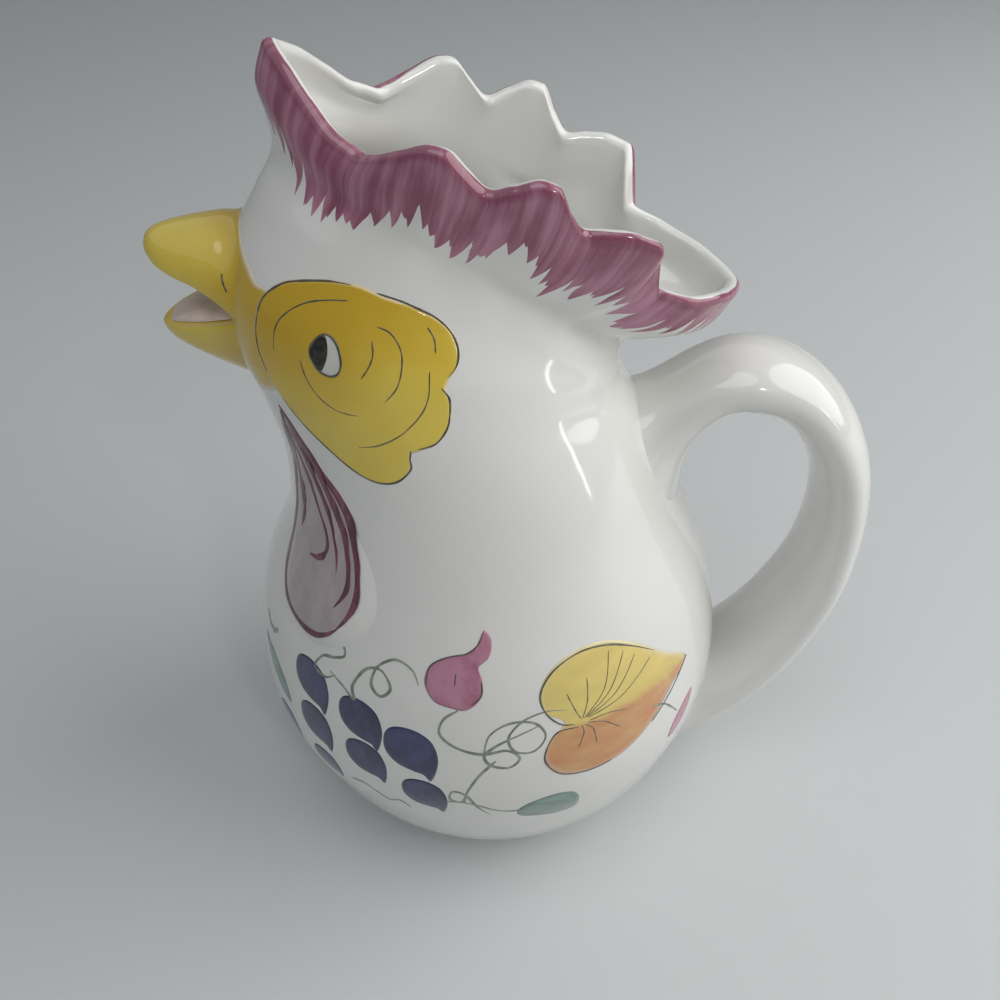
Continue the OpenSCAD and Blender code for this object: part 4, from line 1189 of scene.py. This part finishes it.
class PITCHER_OT_vine(Operator):
    """Paints the grapes, tendrils, buds and leaves round the belly"""
    bl_idname = "pitcher.vine"
    bl_label = "Vine"

    grape = [(-7.6, 3.2), (-6.2, 6.8), (-2.6, 8.6), (2.2, 8.4), (6.2, 6.0), (8.2, 1.6), (8.4, -3.4), (6.8, -9.4),
             (4.6, -7.4), (1.2, -6.8), (-3.4, -5.4), (-6.8, -1.8)]
    bunch = [(136.0, 93.2, 0.97, 2), (134.2, 77.2, 0.90, 3), (120.6, 89.8, 0.95, 0), (119.3, 74.8, 0.88, 3),
             (108.0, 84.2, 1.06, -4), (105.4, 65.8, 0.88, -3), (147.5, 64.0, 0.74, 6), (132.5, 61.0, 0.70, 4)]

    def execute(self, context):
        vessel = Vessel(context.scene)
        colours = context.scene.pitcher_colours
        blue = brush_glaze("grape_blue", colours.grape, [v * 1.9 for v in colours.grape], (1.2, 1.2, 0.7), 150, 0.5)
        plum = brush_glaze("bud_plum", [v * 1.35 for v in colours.plum], [v * 1.06 for v in colours.plum_wash],
                           (1.4, 1.4, 0.5), 120, 0.25, 0.20, 0.54)
        green = brush_glaze("leaf_green", colours.leaf_green, [v * 1.7 for v in colours.leaf_green],
                            (0.5, 0.5, 2.0), 160, 0.5, 0.30, 0.72)
        line = brush_glaze("vine_line", colours.tendril, [v * 1.8 for v in colours.tendril], scale=300,
                           rim_shade=0)
        dark = brush_glaze("leaf_line", colours.line, [v * 2.4 for v in colours.line], scale=320, rim_shade=0)
        leaf = self.leaf_glaze(colours)
        for side, word, shift in ((-1, "left", 0.0), (1, "right", -5.0)):
            self.paint_leaf(vessel, side, word, shift, leaf, dark)
            self.paint_grapes(vessel, side, word, shift, blue)
            self.paint_buds(vessel, side, word, shift, plum, dark)
            self.paint_green(vessel, side, word, shift, green)
            self.paint_tendrils(vessel, side, word, shift, line)
        return {"FINISHED"}

    def leaf_glaze(self, colours):
        glaze = Glaze("leaf_glaze")
        tone = glaze.math("ADD", glaze.value("tone"), glaze.math("MULTIPLY", glaze.noise(190, 3), 5.0))
        part = glaze.range(tone, 0.2, 4.6, smooth=True)
        streaks = glaze.noise(150, 4, stretch=(0.5, 0.5, 1.4), roughness=0.6)
        yellow = glaze.mix(glaze.range(streaks, 0.35, 0.7), tuple(v * 0.90 for v in colours.leaf_yellow),
                           tuple(colours.leaf_yellow))
        orange = glaze.mix(glaze.range(streaks, 0.35, 0.7), tuple(colours.leaf_orange),
                           tuple(min(1, v * k) for v, k in zip(colours.leaf_orange, (1.08, 1.45, 1.5))))
        colour = glaze.mix(part, orange, yellow)
        edge = glaze.range(glaze.value("rim"), 0.90, 1.0, 0.0, 0.35, smooth=True)
        colour = glaze.mix(edge, colour, tuple(v * 0.97 for v in colours.white))
        return glaze.finish(colour, 0.06)

    def paint_leaf(self, vessel, side, word, shift, material, dark):
        centre = (68.6 + shift, 93.5)

        def draw(points, closed=False):
            return sketch(vessel, centre, smooth_path(points, closed))

        outline = [(-5.2, 0.6), (-10.4, 5.5), (-11.8, 12.5), (-7.2, 19.2), (2.0, 22.6), (12.5, 21.6), (23.0, 15.6),
                   (33.5, 5.6), (43.0, -3.6), (33.2, -8.6), (22.5, -16.6), (11.5, -21.6), (0.5, -22.4),
                   (-8.0, -19.2), (-11.8, -12.2), (-10.0, -5.0)]
        places = smooth_path(outline, True)
        here = sketch(vessel, centre, places)

        def tone(chart):
            # Height of a place over the leaf's midrib, in millimetres of the drawing.
            across = (centre[0] - chart[:, 0]) * 1.22
            up = chart[:, 1] - centre[1]
            return up + 1.6 + across * 0.03

        brush = Brush(vessel, side)
        brush.fill(here, sketch(vessel, centre, [(6.0, -0.4)])[0], 26, 0.04, 0.05, tone)
        brush.piece(word + "_leaf", material, "yellow_glaze")
        lines = Brush(vessel, side)
        lines.stroke(draw([(-2.2, -1.2), (-6.4, 0.4), (-10.4, 5.6), (-11.4, 12.2), (-6.8, 18.4), (2.2, 21.6),
                           (12.0, 20.4), (21.0, 15.8), (29.0, 9.6)]), 0.55, 0.20)
        lines.stroke(draw([(-1.0, -2.6), (-7.4, -2.4), (-11.0, -8.0), (-11.4, -13.6), (-7.2, -19.6), (0.6, -22.0),
                           (8.5, -21.6)]), 0.5, 0.20)
        lines.stroke(draw([(43.4, -3.4), (38.0, -7.0), (31.0, -11.6), (24.0, -16.0)]), 0.4, 0.20)
        for path in ([(0, 0), (-1.6, 4), (-3.6, 10.5)], [(0.4, 0), (2.6, 6), (3.4, 13.5)],
                     [(1, 0), (8.5, 7.5), (12.2, 18.5)], [(1.4, 0), (10, 5.8), (17.2, 16.0)],
                     [(2, 0), (12, 4.2), (21, 13.0)], [(2, -0.4), (14, 2.0), (26.5, 8.6)],
                     [(0, -2.4), (0.4, -5.4), (-1.6, -10.6)], [(1, -2.4), (3.4, -5.2), (4.2, -11.4)],
                     [(2, -2.2), (7.0, -4.2), (12.4, -9.6)], [(2.4, -1.6), (9.0, -1.8), (15.4, -4.2)]):
            lines.stroke(draw(path), 0.32, 0.20)
        lines.piece(word + "_leaf_lines", dark, "plum_glaze")

    def paint_grapes(self, vessel, side, word, shift, material):
        brush = Brush(vessel, side)
        drawn = smooth_path(self.grape, True, 10)
        for a, z, size, turn in self.bunch:
            t = radians(turn)
            shape = drawn @ np.array([[cos(t), sin(t)], [-sin(t), cos(t)]]) * size
            centre = (a + shift * 0.4, z)
            brush.fill(sketch(vessel, centre, shape), sketch(vessel, centre, [(0, 0)])[0], 10, 0.05, 0.07)
        brush.piece(word + "_grapes", material, "plum_glaze")

    def paint_buds(self, vessel, side, word, shift, material, dark):
        brush, lines = Brush(vessel, side), Brush(vessel, side)
        centre = (96.5 + shift, 111.0)
        bud = [(-1.5, -9.0), (-6.6, -7.0), (-9.4, -1.4), (-8.2, 4.2), (-3.4, 7.4), (2.6, 9.0), (6.2, 12.2),
               (7.8, 16.0), (9.8, 12.6), (8.8, 7.6), (5.8, 4.6), (6.8, 0.0), (5.8, -6.0), (2.2, -9.4)]
        brush.fill(sketch(vessel, centre, smooth_path(bud, True)), sketch(vessel, centre, [(0, 0)])[0], 12)
        lines.stroke(sketch(vessel, centre, smooth_path([(-9.0, -2.0), (-8.0, 4.0), (-3.2, 7.3), (2.6, 8.8),
                                                         (6.0, 11.8), (7.6, 15.6)])), 0.5, 0.20)
        lines.stroke(sketch(vessel, centre, smooth_path([(6.6, 0.0), (6.4, -4.6), (3.6, -7.6)])), 0.45, 0.20)
        lines.stroke(sketch(vessel, centre, smooth_path([(-0.6, 2.6), (-0.9, -1.4)])), 0.45, 0.20)
        centre = (38.5 + shift, 68.0)
        second = [(-6.4, -5.7), (-4.5, -0.1), (0.5, 4.3), (6.5, 6.5), (5.5, 1.9), (1.3, -3.7), (-3.5, -6.7)]
        brush.fill(sketch(vessel, centre, smooth_path(second, True)), sketch(vessel, centre, [(0, 0)])[0], 8)
        brush.piece(word + "_buds", material, "plum_glaze")
        lines.piece(word + "_bud_lines", dark, "plum_glaze")

    def paint_green(self, vessel, side, word, shift, material):
        brush = Brush(vessel, side)
        centre = (77.0 + shift, 57.5)
        shape = [(-9.8, 1.8), (-5.4, 5.8), (1.0, 7.6), (7.0, 6.4), (9.6, 1.6), (8.6, -4.6), (2.6, -6.0),
                 (-4.4, -4.6), (-9.2, -2.4)]
        brush.fill(sketch(vessel, centre, smooth_path(shape, True)), sketch(vessel, centre, [(0, 0)])[0], 8)
        centre = (152.0 + shift * 0.3, 81.5)
        shape = [(-12.5, 5.5), (-6.0, 6.0), (1.0, 4.6), (7.4, 0.4), (10.0, -6.0), (5.0, -5.6), (-1.6, -2.8),
                 (-8.0, 0.8)]
        brush.fill(sketch(vessel, centre, smooth_path(shape, True)), sketch(vessel, centre, [(0, 0)])[0], 8)
        brush.piece(word + "_green_leaves", material, "plum_glaze")

    def paint_tendrils(self, vessel, side, word, shift, material):
        brush = Brush(vessel, side)

        def curl(centre, points, width):
            place = (centre[0] + shift * 0.6, centre[1])
            brush.stroke(sketch(vessel, place, smooth_path(points, steps=18)), width * TENDRIL_WEIGHT, 0.14)

        curl((96.5, 102), [(0, 0), (-4, -3.5), (-5.2, -9), (-1.0, -13.5), (6, -16), (13, -15), (16.5, -18.5),
                           (13.5, -22), (8.5, -20.5), (7.0, -16.5), (11, -12.5), (17, -9.5), (23, -7.0)], 0.75)
        curl((88, 93), [(-4, -7), (-2, 0.5), (4, 4.4), (11, 3.4), (14, -2), (10.5, -7), (5, -6.2), (3.4, -0.6),
                        (8, 4.8), (15, 6.6), (21, 5.2)], 0.6)
        curl((93, 82), [(6, 2), (1, -4), (-2.6, -11), (-4.6, -17), (-8.2, -16), (-7.2, -12), (-3.4, -13.4),
                        (-0.2, -20), (3.2, -25)], 0.7)
        curl((96, 66), [(-6, -1.5), (-1, -1.0), (4, -2.6), (9, -5.6), (14, -7.0), (19, -6.6)], 0.55)
        curl((127, 106), [(-3, -4), (2, -6.5), (6, -9.5), (5.4, -4.5), (9, 2.8), (14, 4.2), (17.4, -0.6),
                          (14.6, -4.4), (11.4, -1.4), (12.6, 5.0), (18, 9.0), (23.4, 7.0), (25.6, 2.6)], 0.75)
        curl((131, 105), [(-1, 8), (3.5, 8.8), (6, 5), (2.4, 2.4), (-2, 0.5), (-4.4, -4.8), (0, -6.2), (4, -3)],
             0.7)
        curl((56, 78), [(9, 6), (14, 3), (18, -2.0), (20.5, -6)], 0.5)
        curl((120, 58), [(-6, 2), (-1, 3.2), (3, 0.8), (7, -1.6), (11, 0.6), (14, -2.4)], 0.6)
        curl((157, 95), [(-5.5, 1.6), (-1.5, -0.6), (3, 0.2), (5.6, 2.6)], 1.5)
        brush.piece(word + "_tendrils", material, "plum_glaze")


# Stage.

class PITCHER_OT_stage(Operator):
    """Lays the pale floor with its round backdrop and sets the soft lights and the camera"""
    bl_idname = "pitcher.stage"
    bl_label = "Stage"

    def execute(self, context):
        scene = context.scene
        s = scene.pitcher_stage
        mesh = bpy.data.meshes.new("floor")
        reach, bend, turns = 2.6, 0.9, np.arange(96) * 2 * pi / 96
        profile = [(0.5, 0.0), (1.0, 0.0), (reach - bend, 0.0)]
        profile += [(reach - bend + bend * sin(t), bend * (1 - cos(t))) for t in np.linspace(0.1, pi / 2, 14)]
        profile += [(reach, 1.6)]
        verts = [(r * cos(t), r * sin(t), z - 0.00002) for r, z in profile for t in turns]
        faces = [tuple(reversed(face)) for face in grid_faces(len(profile), len(turns), False)]
        faces += [tuple(range(len(turns)))]
        mesh.from_pydata(verts, [], faces)
        mesh.shade_smooth()
        floor = bpy.data.objects.new("floor", mesh)
        scene.collection.objects.link(floor)
        material = bpy.data.materials.new("floor_paint")
        material.use_nodes = True
        shader = material.node_tree.nodes["Principled BSDF"]
        shader.inputs["Base Color"].default_value = (*s.floor, 1)
        shader.inputs["Roughness"].default_value = 0.55
        mesh.materials.append(material)

        self.lamp(scene, "window", (1.00, -0.05, 0.72), (0, 0, 0.12), (1.4, 1.4), 11.0, (1.0, 0.99, 0.97))
        self.lamp(scene, "sky_panel", (-0.10, -0.40, 1.25), (0, 0, 0.10), (0.9, 0.9), 3.2, (0.96, 0.98, 1.0))
        self.lamp(scene, "strip", (0.85, -0.34, 0.20), (0, 0, 0.16), (0.03, 0.22), 0.16, (1.0, 0.99, 0.97))
        self.lamp(scene, "ring_lamp", (0.35, -0.75, 0.80), (0, 0, 0.18), (0.08, 0.08), 0.7, (1.0, 0.99, 0.97))
        world = bpy.data.worlds.new("room")
        world.use_nodes = True
        nodes, links = world.node_tree.nodes, world.node_tree.links
        nodes["Background"].inputs["Color"].default_value = (0.80, 0.84, 0.86, 1)
        rays = nodes.new("ShaderNodeLightPath")
        seen = rays.outputs["Is Camera Ray"]
        for name in ("Is Glossy Ray", "Is Transmission Ray"):
            either = nodes.new("ShaderNodeMath")
            either.operation = "MAXIMUM"
            links.new(seen, either.inputs[0])
            links.new(rays.outputs[name], either.inputs[1])
            seen = either.outputs[0]
        strength = nodes.new("ShaderNodeMapRange")
        strength.inputs["To Min"].default_value = 0.27
        strength.inputs["To Max"].default_value = 0.70
        links.new(seen, strength.inputs["Value"])
        links.new(strength.outputs["Result"], nodes["Background"].inputs["Strength"])
        scene.world = world
        scene.view_settings.view_transform = "Standard"

        data = bpy.data.cameras.new("camera")
        data.sensor_width = 36
        data.lens = s.lens
        data.clip_start = 0.01
        camera = bpy.data.objects.new("camera", data)
        scene.collection.objects.link(camera)
        ahead = Vector((sin(s.yaw) * cos(s.pitch), cos(s.yaw) * cos(s.pitch), -sin(s.pitch)))
        right = Vector((cos(s.yaw), -sin(s.yaw), 0))
        down = ahead.cross(right)
        across = right * cos(s.roll) + down * sin(s.roll)
        under = down * cos(s.roll) - right * sin(s.roll)
        turn = Matrix((across, -under, -ahead)).transposed()
        camera.matrix_world = Matrix.Translation(s.camera_place) @ turn.to_4x4()
        scene.camera = camera
        return {"FINISHED"}

    def lamp(self, scene, name, place, target, size, power, colour):
        data = bpy.data.lights.new(name, "AREA")
        data.shape = "ELLIPSE" if size[0] == size[1] else "RECTANGLE"
        data.size, data.size_y = size
        data.energy = power
        data.color = colour
        lamp = bpy.data.objects.new(name, data)
        scene.collection.objects.link(lamp)
        lamp.location = place
        lamp.rotation_euler = (Vector(target) - Vector(place)).to_track_quat("-Z", "Y").to_euler()


class PITCHER_PT_panel(Panel):
    """Sizes, colours and pieces of the pitcher"""
    bl_label = "Rooster Pitcher"
    bl_idname = "PITCHER_PT_panel"
    bl_space_type = "VIEW_3D"
    bl_region_type = "UI"
    bl_category = "Rooster Pitcher"

    def draw(self, context):
        for title, group, operators in SECTIONS:
            box = self.layout.box()
            box.label(text=title)
            settings = getattr(context.scene, group)
            for name in settings.__annotations__:
                box.prop(settings, name)
            for operator in operators:
                box.operator(operator.bl_idname)


SECTIONS = (
    ("Body", "pitcher_vessel", (PITCHER_OT_foot,)),
    ("Comb", "pitcher_comb", (PITCHER_OT_vessel,)),
    ("Handle", "pitcher_handle", (PITCHER_OT_handle,)),
    ("Beak", "pitcher_beak", (PITCHER_OT_beak,)),
    ("Wattles", "pitcher_wattle", (PITCHER_OT_wattles,)),
    ("Painting", "pitcher_colours", (PITCHER_OT_face, PITCHER_OT_vine)),
    ("Stage", "pitcher_stage", (PITCHER_OT_stage,)),
)
GROUPS = {
    "pitcher_vessel": VesselSizes,
    "pitcher_comb": CombSizes,
    "pitcher_handle": HandleSizes,
    "pitcher_beak": BeakSizes,
    "pitcher_wattle": WattleSizes,
    "pitcher_colours": PaintColours,
    "pitcher_stage": StageSizes,
}
CLASSES = (PITCHER_OT_vessel, PITCHER_OT_foot, PITCHER_OT_handle, PITCHER_OT_beak, PITCHER_OT_wattles,
           PITCHER_OT_face, PITCHER_OT_vine, PITCHER_OT_stage, PITCHER_PT_panel)


def register():
    for name, group in GROUPS.items():
        bpy.utils.register_class(group)
        setattr(bpy.types.Scene, name, PointerProperty(type=group))
    for cls in CLASSES:
        bpy.utils.register_class(cls)


def unregister():
    for cls in reversed(CLASSES):
        bpy.utils.unregister_class(cls)
    for name, group in reversed(GROUPS.items()):
        delattr(bpy.types.Scene, name)
        bpy.utils.unregister_class(group)


def main():
    register()
    bpy.ops.pitcher.vessel()
    bpy.ops.pitcher.foot()
    bpy.ops.pitcher.handle()
    bpy.ops.pitcher.beak()
    bpy.ops.pitcher.wattles()
    bpy.ops.pitcher.face()
    bpy.ops.pitcher.vine()
    bpy.ops.pitcher.stage()


if __name__ == "__main__":
    main()
